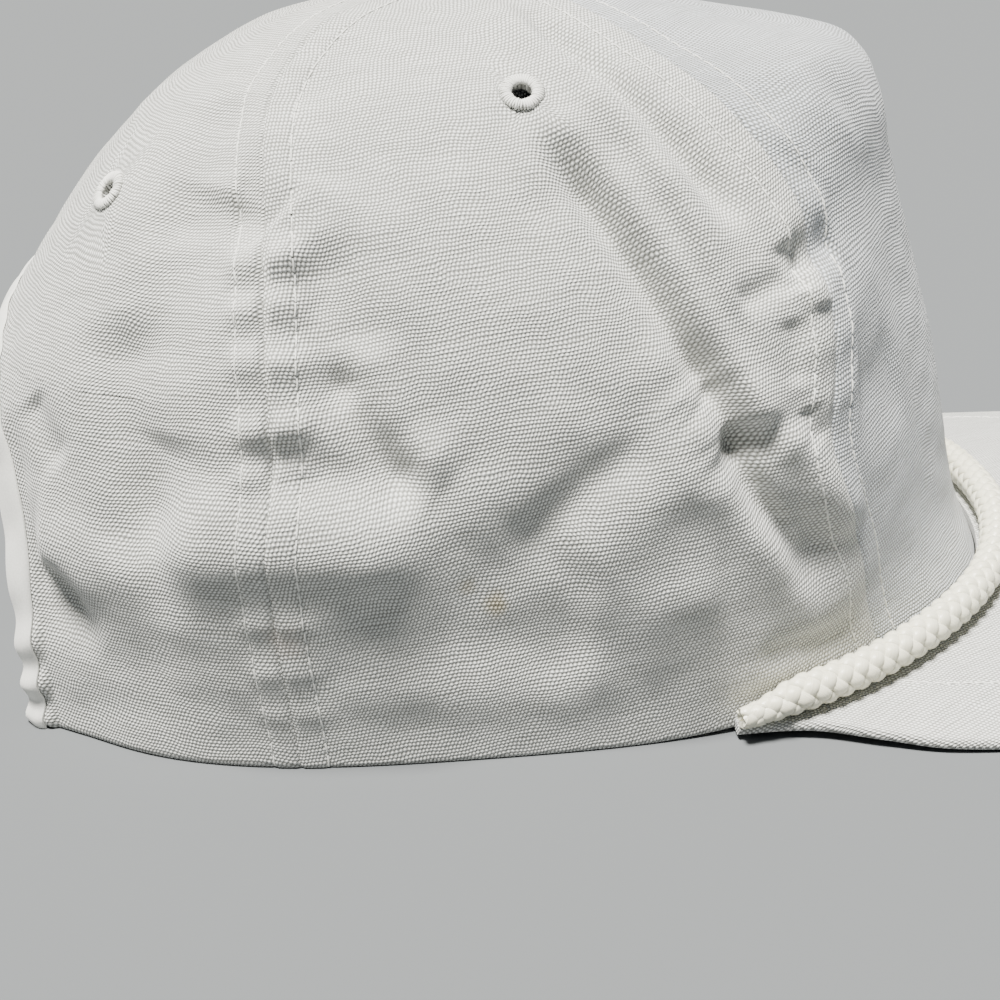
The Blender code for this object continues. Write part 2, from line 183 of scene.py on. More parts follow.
class Ripple(NamedTuple):
    """Unevenness of worn cotton: its height in mm, and the waves that make it."""

    height: float
    lengths: tuple[float, float]
    count: int
    seed: int

    def at(self, points: np.ndarray) -> np.ndarray:
        """Height in mm at each point."""
        return self.height * waves(points, self.lengths, self.count, self.seed)


@dataclass
class CrownForm:
    """The crown as one surface over angle and climb, with all sizes in mm.

    A squareness is the power of a superellipse. The fades are pairs of places
    between which something comes or goes. The hem values shape the puckers
    beside the back opening: a band in mm from its edge, and lumps that swing
    as they go round it.
    """

    height: float = 133.0
    front: float = 101.5
    back: float = 100.5
    half_width: float = 79.5
    axis: float = -6.0
    front_squareness: float = 2.45
    back_squareness: float = 3.0
    brim_half_width: float = 91.5
    brim_arch: float = 12.9
    arch_from: float = 15.0
    arch_full: float = 85.0
    opening_half_angle: float = 28.0
    opening_climb: float = 0.50
    opening_squareness: float = 2.5
    opening_flare: float = 4.0
    flare_share: float = 0.35
    flare_radius: float = 95.0
    front_fade: tuple[float, float] = (30.0, 66.0)
    left_fold_share: float = 0.45
    fold_fade: tuple[float, float] = (0.04, 0.13)
    fold_taper: tuple[float, float] = (0.22, 0.78)
    fold_reach: float = 3.2
    ripples: tuple[Ripple, ...] = (Ripple(0.22, (18.0, 34.0), 14, 5), Ripple(0.07, (7.0, 13.0), 18, 8))
    ripple_fade: tuple[float, float] = (0.0, 0.08)
    hem_radius: float = 36.0
    hem_start: tuple[float, float] = (-1.0, 0.5)
    hem_end: tuple[float, float] = (6.0, 8.0)
    hem_top: tuple[float, float] = (0.62, 0.72)
    hem_lumps: float = 46.0
    hem_swing: tuple[float, float] = (3.0, 7.0)
    hem_rise: float = 0.35
    lump_rise: float = 0.25
    low_lump_rise: float = 0.95
    low_lump_fade: tuple[float, float] = (0.10, 0.26)
    dome: np.ndarray = field(default_factory=lambda: np.array([
        (0.00, 1.000, 0.000), (0.13, 1.000, 0.130), (0.27, 1.000, 0.270),
        (0.41, 0.986, 0.420), (0.53, 0.943, 0.550), (0.64, 0.855, 0.670),
        (0.75, 0.735, 0.785), (0.86, 0.560, 0.890), (0.94, 0.295, 0.968),
        (1.00, 0.000, 1.000),
    ]))
    upright: np.ndarray = field(default_factory=lambda: np.array([
        (0.00, 1.000, 0.000), (0.10, 0.950, 0.110), (0.22, 0.922, 0.250),
        (0.33, 0.898, 0.370), (0.43, 0.868, 0.475), (0.53, 0.832, 0.590),
        (0.63, 0.804, 0.700), (0.71, 0.778, 0.800), (0.76, 0.743, 0.858),
        (0.80, 0.693, 0.888), (0.86, 0.520, 0.920), (0.94, 0.250, 0.973),
        (1.00, 0.000, 1.000),
    ]))
    folds: tuple[Fold, ...] = ()
    creases: tuple[Crease, ...] = ()
    seams: list["Seam"] = field(default_factory=list)
    fold_lines: list[tuple[np.ndarray, np.ndarray, Fold, float]] = field(default_factory=list)

    def plan(self, angle: np.ndarray) -> tuple[np.ndarray, np.ndarray]:
        """Rim outline.

        Args:
            angle: Plan angles in degrees.

        Returns:
            Distance ahead of the centre and to the wearer's right, in mm.
        """
        c = np.cos(np.radians(angle))
        s = np.sin(np.radians(angle))
        ahead_half = c >= 0
        power = np.where(ahead_half, self.front_squareness, self.back_squareness)
        reach = np.where(ahead_half, self.front - self.axis, self.back + self.axis)
        ahead = self.axis + reach * np.sign(c) * np.abs(c) ** (2 / power)
        side = self.half_width * np.sign(s) * np.abs(s) ** (2 / power)
        return ahead, side

    def brim_height(self, ahead: np.ndarray, side: np.ndarray) -> np.ndarray:
        """Height of the brim's underside.

        Args:
            ahead: Distance ahead of the centre in mm.
            side: Distance to the right in mm.

        Returns:
            Heights in mm.
        """
        share = ease(ahead, self.arch_from, self.arch_full)
        return share * self.brim_arch * (1 - (side / self.brim_half_width) ** 2)

    def opening_edge(self, climb: np.ndarray) -> np.ndarray:
        """Angle from the back centre to the opening's edge at a climb."""
        share = np.clip(climb / self.opening_climb, 0.0, 1.0) ** self.opening_squareness
        return self.opening_half_angle * (1 - share) ** (1 / self.opening_squareness)

    def opening_distance(self, angle: np.ndarray, climb: np.ndarray) -> np.ndarray:
        """Distance from the edge of the back opening, as a share of its size."""
        across = np.abs(180.0 - np.abs(angle)) / self.opening_half_angle
        along = climb / self.opening_climb
        power = self.opening_squareness
        return (across**power + along**power) ** (1 / power) - 1.0

    def smooth(self, angle: np.ndarray, climb: np.ndarray) -> np.ndarray:
        """Crown surface without folds.

        Args:
            angle: Plan angles in degrees.
            climb: Climbs from 0 to 1.

        Returns:
            Points in mm, in the crown's own frame.
        """
        angle = np.asarray(angle, float)
        climb = np.asarray(climb, float)
        ahead, side = self.plan(angle)
        rim = self.brim_height(ahead, side)
        front = 1 - ease(np.abs(angle), *self.front_fade)
        radius, height = (
            front * curve_value(climb, self.upright, k) + (1 - front) * curve_value(climb, self.dome, k)
            for k in (1, 2))
        far = self.opening_distance(angle, climb)
        flare = 1 + self.opening_flare * np.exp(-((far / self.flare_share) ** 2)) / self.flare_radius
        ahead = self.axis + (ahead - self.axis) * radius * flare
        side = side * radius * flare
        return np.stack([-side, -ahead, rim + (self.height - rim) * height], -1)

    def normal(self, surface: Surface, angle: np.ndarray, climb: np.ndarray) -> np.ndarray:
        """Outward unit normal of a surface over angle and climb."""
        low = np.clip(climb - 0.003, 0.0, 0.995)
        high = np.clip(climb + 0.003, 0.0, 0.995)
        along = surface(angle + 0.3, climb) - surface(angle - 0.3, climb)
        up = surface(angle, high) - surface(angle, low)
        out = np.cross(up, along)
        return out / np.linalg.norm(out, axis=-1, keepdims=True)

    def prepare(self) -> None:
        """Lay each fold's curve on the smooth crown, on both sides."""
        k = np.linspace(0.0, 1.0, 48)
        for fold in (*self.folds, *self.creases):
            if isinstance(fold, Crease):
                rows = np.column_stack([np.linspace(0.0, 1.0, len(fold.route)), fold.route])
                angle, climb = curve_value(k, rows, 1), curve_value(k, rows, 2)
            else:
                bend_angle = 2 * fold.angle1 - (fold.angle0 + fold.angle2) / 2
                bend_climb = 2 * fold.climb1 - (fold.climb0 + fold.climb2) / 2
                start, bend, end = (1 - k) ** 2, 2 * k * (1 - k), k**2
                angle = start * fold.angle0 + bend * bend_angle + end * fold.angle2
                climb = start * fold.climb0 + bend * bend_climb + end * fold.climb2
            for side in Side:
                share = 1.0 if side is Side.RIGHT else self.left_fold_share
                line = self.smooth(side.value * angle, np.clip(climb, 0.0, 1.0))
                self.fold_lines.append((line, k, fold, fold.push * share))

    def fold_push(self, points: np.ndarray, climb: np.ndarray) -> np.ndarray:
        """Push of all folds along the normal.

        Args:
            points: Points of the smooth crown in mm.
            climb: Their climbs.

        Returns:
            Push in mm at each point.
        """
        flat = points.reshape(-1, 3)
        total = np.zeros(len(flat))
        for line, k, fold, push in self.fold_lines:
            reach = fold.half_width * self.fold_reach
            low = line.min(axis=0) - reach
            high = line.max(axis=0) + reach
            near = np.flatnonzero(np.all((flat > low) & (flat < high), axis=1))
            if len(near) == 0:
                continue
            start = line[:-1]
            step = line[1:] - start
            size = np.sum(step * step, axis=1)
            place = flat[near]
            best = np.full(len(near), 1e9)
            along = np.zeros(len(near))
            for n in range(len(start)):
                rel = place - start[n]
                t = np.clip(rel @ step[n] / size[n], 0.0, 1.0)
                gap = np.linalg.norm(rel - t[:, None] * step[n], axis=1)
                closer = gap < best
                best[closer] = gap[closer]
                along[closer] = (k[n] + t * (k[n + 1] - k[n]))[closer]
            first, last = self.fold_taper
            taper = ease(along, 0.0, first) * (1 - ease(along, last, 1.0)) * 0.9 + 0.1
            total[near] += push * taper * np.exp(-((best / fold.half_width) ** fold.power))
        return total.reshape(points.shape[:-1]) * ease(climb, *self.fold_fade)

    def crumple(self, points: np.ndarray, climb: np.ndarray) -> np.ndarray:
        """Small soft unevenness of worn cotton, in mm."""
        return sum(ripple.at(points) for ripple in self.ripples) * ease(climb, *self.ripple_fade)

    def opening_relief(self, angle: np.ndarray, climb: np.ndarray) -> np.ndarray:
        """Puckered hem beside the back opening, in mm."""
        far = self.opening_distance(angle, climb) * self.hem_radius
        across = np.abs(180.0 - np.abs(angle)) / self.opening_half_angle
        turn = np.arctan2(climb / self.opening_climb, across)
        band = ease(far, *self.hem_start) * (1 - ease(far, *self.hem_end))
        swing, swings = self.hem_swing
        lumps = 0.5 + 0.5 * np.sin(turn * self.hem_lumps + swing * np.sin(turn * swings))
        low = 1 - ease(climb, *self.low_lump_fade)
        rise = self.hem_rise + (self.lump_rise + self.low_lump_rise * low) * lumps
        return band * rise * (1 - ease(climb, *self.hem_top))

    def folded(self, angle: np.ndarray, climb: np.ndarray) -> np.ndarray:
        """Crown surface with its folds only, as points in mm."""
        angle = np.asarray(angle, float)
        climb = np.asarray(climb, float)
        points = self.smooth(angle, climb)
        push = self.fold_push(points, climb)
        return points + self.normal(self.smooth, angle, climb) * push[..., None]

    def surface(self, angle: np.ndarray, climb: np.ndarray) -> np.ndarray:
        """Crown surface with folds, seams and crumple, as points in mm."""
        angle = np.asarray(angle, float)
        climb = np.asarray(climb, float)
        points = self.smooth(angle, climb)
        out = self.normal(self.smooth, angle, climb)
        push = self.fold_push(points, climb) + self.crumple(points, climb)
        push = push + self.opening_relief(angle, climb)
        for seam in self.seams:
            push = push + seam.relief(self, angle, climb)
        return points + out * push[..., None]


@dataclass
class Seam:
    """A sewn join between two panels, with a stitch row on each side of it."""

    name: str
    side: Side
    rows: np.ndarray
    stitch_offset: float = 5.0
    plateau: float = 0.28
    groove: float = 0.38
    stitch_groove: float = 0.22
    groove_width: float = 0.45
    stitch_width: float = 0.55
    end_fade: tuple[float, float] = (0.90, 0.97)
    pucker_fade: tuple[float, float] = (4.2, 9.0)
    reach: float = 16.0
    puckers: tuple[Pucker, ...] = ()

    def angle(self, climb: np.ndarray) -> np.ndarray:
        """Plan angle of the join at a climb."""
        return self.side.value * curve_value(climb, self.rows, 1)

    def per_degree(self, form: CrownForm, climb: np.ndarray) -> np.ndarray:
        """Length of cloth in mm for one degree of plan angle at the join."""
        angle = self.angle(climb)
        climb = np.clip(climb, 0.0, 0.985)
        reach = form.smooth(angle + 0.5, climb) - form.smooth(angle - 0.5, climb)
        return np.linalg.norm(reach, axis=-1)

    def offset_angle(self, form: CrownForm, climb: np.ndarray, offset: float) -> np.ndarray:
        """Plan angle of a line beside the join, at an offset in mm towards larger angles."""
        return self.angle(climb) + offset / self.per_degree(form, climb)

    def relief(self, form: CrownForm, angle: np.ndarray, climb: np.ndarray) -> np.ndarray:
        """Height of the seam's band, grooves and gathers over the cloth.

        Args:
            form: The crown.
            angle: Plan angles.
            climb: Climbs.

        Returns:
            Height in mm.
        """
        keys = np.linspace(0.0, 1.0, 201)
        scale = np.interp(climb, keys, self.per_degree(form, keys))
        aside = (angle - self.angle(climb)) * scale
        gap = np.abs(aside)
        fade = 1 - ease(climb, *self.end_fade)
        band = 1 - ease(gap, self.stitch_offset - 0.6, self.stitch_offset + 0.5)
        rise = self.plateau * band - self.groove * np.exp(-((gap / self.groove_width) ** 2))
        row = np.exp(-(((gap - self.stitch_offset) / self.stitch_width) ** 2))
        rise = rise - self.stitch_groove * row
        window = (1 - ease(gap, *self.pucker_fade)) * (0.35 + 0.65 * ease(gap, 0.2, 1.6))
        for pucker in self.puckers:
            along = (climb - pucker.climb) * CLIMB_LENGTH + pucker.lean * aside
            rise = rise + pucker.rise * window * np.exp(-((along / pucker.half_length) ** 2))
        return np.where(gap < self.reach, rise * fade, 0.0)


class MeshParts(NamedTuple):
    """Faces as vertex indices: those with four corners, and one other kind."""

    fours: np.ndarray
    others: np.ndarray


def write_mesh(name: str, points: np.ndarray, parts: MeshParts, uv: Optional[np.ndarray] = None,
               sharp: float = 50.0) -> bpy.types.Object:
    """Write a closed mesh as an object at the origin.

    Args:
        name: Object name.
        points: Points in mm in the crown's own frame.
        parts: Faces.
        uv: Place on the cloth in mm for each point, for the grain map.
        sharp: Angle in degrees above which an edge stays sharp.

    Returns:
        The new object.
    """
    points = points + SHIFT
    volume = 0.0
    for faces in parts:
        if len(faces) == 0:
            continue
        first = points[faces[:, 0]]
        for k in range(1, faces.shape[1] - 1):
            cross = np.cross(points[faces[:, k]], points[faces[:, k + 1]])
            volume += float(np.sum(first * cross))
    faces_sets = [f if volume > 0 else f[:, ::-1] for f in parts if len(f)]
    totals = np.concatenate([np.full(len(f), f.shape[1]) for f in faces_sets])
    corners = np.concatenate([f.reshape(-1) for f in faces_sets])
    starts = np.concatenate([[0], np.cumsum(totals)[:-1]])
    mesh = bpy.data.meshes.new(name)
    mesh.vertices.add(len(points))
    mesh.vertices.foreach_set("co", (points * MM).astype(np.float32).reshape(-1))
    mesh.loops.add(len(corners))
    mesh.loops.foreach_set("vertex_index", corners.astype(np.int32))
    mesh.polygons.add(len(totals))
    mesh.polygons.foreach_set("loop_start", starts.astype(np.int32))
    mesh.polygons.foreach_set("loop_total", totals.astype(np.int32))
    mesh.update(calc_edges=True)
    if uv is not None:
        layer = mesh.uv_layers.new(name="grain")
        layer.data.foreach_set("uv", uv[corners].astype(np.float32).reshape(-1))
    mesh.shade_smooth()
    mesh.set_sharp_from_angle(angle=math.radians(sharp))
    item = bpy.data.objects.new(name, mesh)
    bpy.context.scene.collection.objects.link(item)
    return item


def hand_over(item: bpy.types.Object, node: Optional[str] = None,
              finish: Optional[bpy.types.Material] = None) -> None:
    """Give a piece its finish and body, and hide the node that it replaces.

    Args:
        item: The piece.
        node: The node that it replaces, if it replaces one.
        finish: Its material, unless a tree has set it.
    """
    if finish is not None:
        item.data.materials.append(finish)
    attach(item, "root")
    if node is not None:
        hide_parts(node)
    LOG.info("%s: %d faces", item.name, len(item.data.polygons))


@dataclass
class Hole:
    """A round hole in a panel, as a place on the crown and a radius in mm.

    The ring of cells at its edge is round. Further rings of cells go back to
    the panel's own grid between the fades, which are counts of rings.
    """

    angle: float
    climb: float
    radius: float
    cells: int = 4
    ring_step: float = 0.45
    round_fade: float = 16.0
    carry_fade: tuple[float, float] = (6.0, 30.0)


def open_hole(form: CrownForm, angle: np.ndarray, climb: np.ndarray, hole: Hole) -> tuple[int, int]:
    """Bend a grid of angles and climbs so that a square of cells fits a round hole.

    Args:
        form: The crown.
        angle: Grid of angles, changed in place.
        climb: Grid of climbs, changed in place.
        hole: The hole.

    Returns:
        Row and column of the hole's centre.
    """
    points = form.smooth(angle, climb)
    centre = form.smooth(np.array(hole.angle), np.array(hole.climb))
    gap = np.linalg.norm(points - centre, axis=-1)
    gap[1::2, :] = 1e9
    gap[:, 1::2] = 1e9
    i0, j0 = np.unravel_index(np.argmin(gap), gap.shape)
    rows, columns = np.indices(angle.shape)
    ring = np.maximum(np.abs(rows - i0), np.abs(columns - j0))
    carry = 1 - ease(ring, *hole.carry_fade)
    angle += (hole.angle - angle[i0, j0]) * carry
    climb += (hole.climb - climb[i0, j0]) * carry

    def span(turn: float, rise: float) -> float:
        """Distance in mm across the hole's centre, for half steps of angle and climb."""
        ends = [form.smooth(np.array(hole.angle + k * turn), np.array(hole.climb + k * rise))
                for k in (1, -1)]
        return float(np.linalg.norm(ends[0] - ends[1]))

    per_degree = span(0.5, 0.0)
    per_climb = span(0.0, 0.01) / 0.02
    u = (angle - hole.angle) * per_degree
    v = (climb - hole.climb) * per_climb
    turn = np.arctan2(v, u)
    radius = hole.radius + (ring - hole.cells) * hole.ring_step
    share = np.where(ring < hole.cells, 0.0, 1 - ease(ring, float(hole.cells), hole.round_fade))
    u = share * radius * np.cos(turn) + (1 - share) * u
    v = share * radius * np.sin(turn) + (1 - share) * v
    near = share > 0
    angle[near] = (hole.angle + u / per_degree)[near]
    climb[near] = (hole.climb + v / per_climb)[near]
    return int(i0), int(j0)


def closed_sheet(name: str, outer: np.ndarray, inner: np.ndarray, uv: np.ndarray,
                 holes: tuple[tuple[int, int, int], ...] = ()) -> bpy.types.Object:
    """Closed sheet of cloth between a fine outer grid and an inner grid of half its fineness.

    Args:
        name: Object name.
        outer: Outer grid of points in mm, with an odd number of rows and columns.
        inner: Inner points at the same grid places.
        uv: Place on the cloth for each grid place.
        holes: Row, column and half size in cells of each square left open.

    Returns:
        The new object.
    """
    rows, columns = outer.shape[0] - 1, outer.shape[1] - 1
    outer_index = np.arange((rows + 1) * (columns + 1)).reshape(rows + 1, columns + 1)
    inner_index = np.full((rows + 1, columns + 1), -1)
    coarse = (rows // 2 + 1, columns // 2 + 1)
    inner_index[::2, ::2] = outer_index.size + np.arange(math.prod(coarse)).reshape(coarse)
    points = np.concatenate([outer.reshape(-1, 3), inner[::2, ::2].reshape(-1, 3)])
    grain = np.concatenate([uv.reshape(-1, 2), uv[::2, ::2].reshape(-1, 2)])
    solid = np.ones((rows, columns), bool)
    for i, j, m in holes:
        solid[i - m:i + m, j - m:j + m] = False
    o, n = outer_index, inner_index
    fours = np.stack([o[:-1, :-1], o[:-1, 1:], o[1:, 1:], o[1:, :-1]], -1)[solid]
    half = solid[::2, ::2]
    inside = np.stack([n[:-2:2, :-2:2], n[2::2, :-2:2], n[2::2, 2::2], n[:-2:2, 2::2]], -1)[half]
    fives: list[tuple[int, ...]] = []

    def wall(line: Any, is_forward: bool) -> None:
        """Wall along a line of the grid, with its corners in one order or the other."""
        a, b = o[line], n[line]
        for k in range(0, len(a) - 1, 2):
            face = (a[k], a[k + 1], a[k + 2], b[k + 2], b[k])
            fives.append(face if is_forward else face[2::-1] + face[:2:-1])

    wall(np.s_[0, :], False)
    wall(np.s_[rows, :], True)
    wall(np.s_[:, 0], True)
    wall(np.s_[:, columns], False)
    for i, j, m in holes:
        across, up = slice(j - m, j + m + 1), slice(i - m, i + m + 1)
        wall(np.s_[i - m, across], True)
        wall(np.s_[i + m, across], False)
        wall(np.s_[up, j - m], False)
        wall(np.s_[up, j + m], True)
    used = np.zeros(len(points), bool)
    parts = MeshParts(np.concatenate([fours, inside]), np.array(fives))
    for faces in parts:
        used[faces] = True
    remap = np.cumsum(used) - 1
    parts = MeshParts(remap[parts.fours], remap[parts.others])
    return write_mesh(name, points[used], parts, grain[used])


def even_shares(count: int, length: float, fine: tuple[float, ...] = (0.12, 0.32, 0.65, 1.1)) -> np.ndarray:
    """Shares from 0 to 1 with a few finer steps at both ends.

    Args:
        count: Number of steps in all, even.
        length: Whole length in mm.
        fine: Places of the finer steps from each end in mm.

    Returns:
        count + 1 shares.
    """
    ends = np.array((0.0,) + fine) / length
    middle = np.linspace(ends[-1], 1 - ends[-1], count + 1 - 2 * len(fine))
    return np.concatenate([ends[:-1], middle, 1 - ends[-2::-1]])


@dataclass
class CrownPanel:
    """One sewn panel of the crown.

    Its grid is worked out along the cloth, so its cells stay even. Extra
    angles near the crown's two sharpest turns keep the weave there unstretched.
    """

    name: str
    form: CrownForm
    left: Surface
    right: Surface
    rows: int
    columns: int
    cloth: float = 1.4
    top_climb: float = 0.993
    grain_turn: float = 0.0
    holes: tuple[Hole, ...] = ()
    arch_rows: int = 0
    arch_step: float = 12.0
    sharp_turns: tuple[float, float] = (-90.0, 90.0)
    turn_steps: tuple[float, float, int] = (0.0005, 3.0, 40)
    middle_climbs: tuple[float, float] = (0.45, 0.6)
    narrow_climb: float = 0.96
    least_width: float = 12.0
    hem_roll: float = 0.55
    hem_depth: float = 0.8

    def climbs(self) -> np.ndarray:
        """Climbs of the rows, even along the cloth."""
        fine = np.linspace(0.0, self.top_climb, 801)
        middle = (self.left(fine) + self.right(fine)) / 2
        line = self.form.smooth(middle, fine)
        run = np.concatenate([[0.0], np.cumsum(np.linalg.norm(np.diff(line, axis=0), axis=1))])
        if self.arch_rows:
            rise = self.form.opening_climb * np.linspace(0.0, 1.0, 4001)
            rim = self.form.smooth(180.0 - self.form.opening_edge(rise), rise)
            rises = self.arch_step * np.diff(rim[:, 2])
            step = np.minimum(np.linalg.norm(np.diff(rim, axis=0), axis=1), rises)
            arch = np.concatenate([[0.0], np.cumsum(step)])
            low = np.interp(np.linspace(0.0, arch[-1], self.arch_rows + 1), arch, rise)
            foot = np.interp(self.form.opening_climb, fine, run)
            upper = np.linspace(foot, run[-1], self.rows - self.arch_rows + 1)[1:]
            return np.concatenate([low, np.interp(upper, run, fine)])
        return np.interp(even_shares(self.rows, run[-1]) * run[-1], run, fine)

    def grid(self) -> tuple[np.ndarray, np.ndarray, np.ndarray]:
        """Angles, climbs and places on the flat cloth of the panel's grid.

        Returns:
            Grids of angle, climb and (across, up) in mm.
        """
        climbs = self.climbs()
        share = np.linspace(0.0, 1.0, 161)
        left = self.left(climbs)[:, None]
        right = self.right(climbs)[:, None]
        fine = left + (right - left) * share
        steps = np.geomspace(*self.turn_steps)
        close = np.concatenate([turn + way * steps for turn in self.sharp_turns for way in (-1.0, 1.0)])
        fine = np.sort(np.concatenate([fine, np.clip(close[None], left, right)], axis=1), axis=1)
        level = np.repeat(np.minimum(climbs, self.narrow_climb)[:, None], fine.shape[1], axis=1)
        points = self.form.smooth(fine, level)
        run = np.cumsum(np.linalg.norm(np.diff(points, axis=1), axis=2), axis=1)
        run = np.concatenate([np.zeros((len(climbs), 1)), run], axis=1)
        angle = np.empty((len(climbs), self.columns + 1))
        across = np.empty_like(angle)
        low, high = (np.array(climb) for climb in self.middle_climbs)
        middle = float(self.left(low) + self.right(high)) / 2
        for i in range(len(climbs)):
            place = even_shares(self.columns, max(run[i, -1], self.least_width)) * run[i, -1]
            angle[i] = np.interp(place, run[i], fine[i])
            across[i] = place - np.interp(middle, fine[i], run[i])
        line = self.form.smooth(np.full_like(climbs, middle), climbs)
        up = np.concatenate([[0.0], np.cumsum(np.linalg.norm(np.diff(line, axis=0), axis=1))])
        climb = np.repeat(climbs[:, None], self.columns + 1, axis=1)
        place = np.stack([across, np.repeat(up[:, None], self.columns + 1, axis=1)], -1)
        turn = math.radians(self.grain_turn)
        spin = np.array([(math.cos(turn), -math.sin(turn)), (math.sin(turn), math.cos(turn))])
        return angle, climb, place @ spin.T

    def build(self) -> bpy.types.Object:
        """Build the panel as one closed sheet of cloth."""
        angle, climb, place = self.grid()
        open_cells = []
        for hole in self.holes:
            i, j = open_hole(self.form, angle, climb, hole)
            open_cells.append((i, j, hole.cells))
        outer = self.form.surface(angle, climb)
        out = self.form.normal(self.form.smooth, angle, climb)
        level = outer[0, :, 2].copy()
        inner = outer - out * self.cloth
        inner[0, :, 2] = level
        rise = np.linalg.norm(outer - outer[:1], axis=-1)
        roll = self.hem_roll * np.clip(1 - rise / self.hem_depth, 0.0, 1.0) ** 2
        outer = outer - out * roll[..., None]
        return closed_sheet(self.name, outer, inner, place, tuple(open_cells))


@dataclass(frozen=True)
class Nodes:
    """Short calls that add nodes to one tree and link them."""

    tree: bpy.types.NodeTree

    def add(self, kind: str, links: Optional[dict[Any, Any]] = None, **settings: Any) -> bpy.types.Node:
        """Add a node.

        Args:
            kind: Node type.
            links: Input name or index to a socket to link or a value to set.
            **settings: Attributes of the node.

        Returns:
            The new node.
        """
        node = self.tree.nodes.new(kind)
        for key, value in settings.items():
            setattr(node, key, value)
        for key, value in (links or {}).items():
            if isinstance(value, bpy.types.NodeSocket):
                self.tree.links.new(value, node.inputs[key])
            else:
                node.inputs[key].default_value = value
        return node

    def get(self, kind: str, links: Optional[dict[Any, Any]] = None, **settings: Any) -> bpy.types.NodeSocket:
        """Add a node and give back its first output."""
        return self.add(kind, links, **settings).outputs[0]

    def calc(self, operation: str, *values: Any) -> bpy.types.NodeSocket:
        """Work out a number from one to three values."""
        return self.get("ShaderNodeMath", dict(enumerate(values)), operation=operation)

    def vector(self, operation: str, first: Any, second: Any) -> bpy.types.NodeSocket:
        """Work out a vector from two values. The second is a number where it scales."""
        other = "Scale" if operation == "SCALE" else 1
        return self.get("ShaderNodeVectorMath", {0: first, other: second}, operation=operation)

    def mix(self, share: Any, low: Any, high: Any, blend: str = "MIX") -> bpy.types.NodeSocket:
        """Mix two colours by a share."""
        node = self.add("ShaderNodeMix", {0: share, 6: low, 7: high}, data_type="RGBA", blend_type=blend)
        return node.outputs[2]

    def noise(self, place: Any, scale: float, detail: float, output: str = "Fac") -> bpy.types.NodeSocket:
        """Read noise at a place."""
        node = self.add("ShaderNodeTexNoise", {"Vector": place, "Scale": scale, "Detail": detail})
        return node.outputs[output]

    def remap(self, value: Any, old: tuple[float, float], new: tuple[float, float],
              **settings: Any) -> bpy.types.NodeSocket:
        """Carry one range of values to another."""
        return self.get("ShaderNodeMapRange", dict(enumerate((value, *old, *new))), **settings)

    def attribute(self, name: str, kind: str = "FLOAT_VECTOR") -> bpy.types.NodeSocket:
        """Read a named attribute."""
        return self.get("GeometryNodeInputNamedAttribute", {"Name": name}, data_type=kind)

    def ring(self, corners: int, radius: Any) -> bpy.types.NodeSocket:
        """Add a circle as a curve."""
        return self.get("GeometryNodeCurvePrimitiveCircle", {"Resolution": corners, "Radius": radius},
                        mode="RADIUS")

    def give(self, shader: bpy.types.Node, colour: Any, height: Any, depth: float) -> None:
        """Give a shader its colour, and bumps with a depth in mm."""
        self.tree.links.new(colour, shader.inputs["Base Color"])
        bump = self.get("ShaderNodeBump", {"Height": height, "Strength": 1.0, "Distance": depth * MM})
        self.tree.links.new(bump, shader.inputs["Normal"])


def new_material(name: str, inputs: dict[str, Any]) -> tuple[bpy.types.Material, bpy.types.Node, Nodes]:
    """Start a material.

    Args:
        name: Material name.
        inputs: Input name of the Principled shader to its value.

    Returns:
        The material, its shader and its nodes.
    """
    material = bpy.data.materials.new(name)
    material.use_nodes = True
    shader = material.node_tree.nodes["Principled BSDF"]
    for label, value in inputs.items():
        shader.inputs[label].default_value = value
    return material, shader, Nodes(material.node_tree)


def linear(code: str) -> tuple[float, float, float, float]:
    """Turn an sRGB hex colour to linear light.

    Args:
        code: Six hex digits.

    Returns:
        Linear red, green, blue and alpha.
    """
    values = [int(code[k:k + 2], 16) / 255 for k in (0, 2, 4)]
    light = [v / 12.92 if v <= 0.04045 else ((v + 0.055) / 1.055) ** 2.4 for v in values]
    return (light[0], light[1], light[2], 1.0)


class Stain(NamedTuple):
    """A faint mark: its place on the crown, its reach in mm, colour and strength."""

    angle: float
    climb: float
    reach: float
    code: str
    strength: float


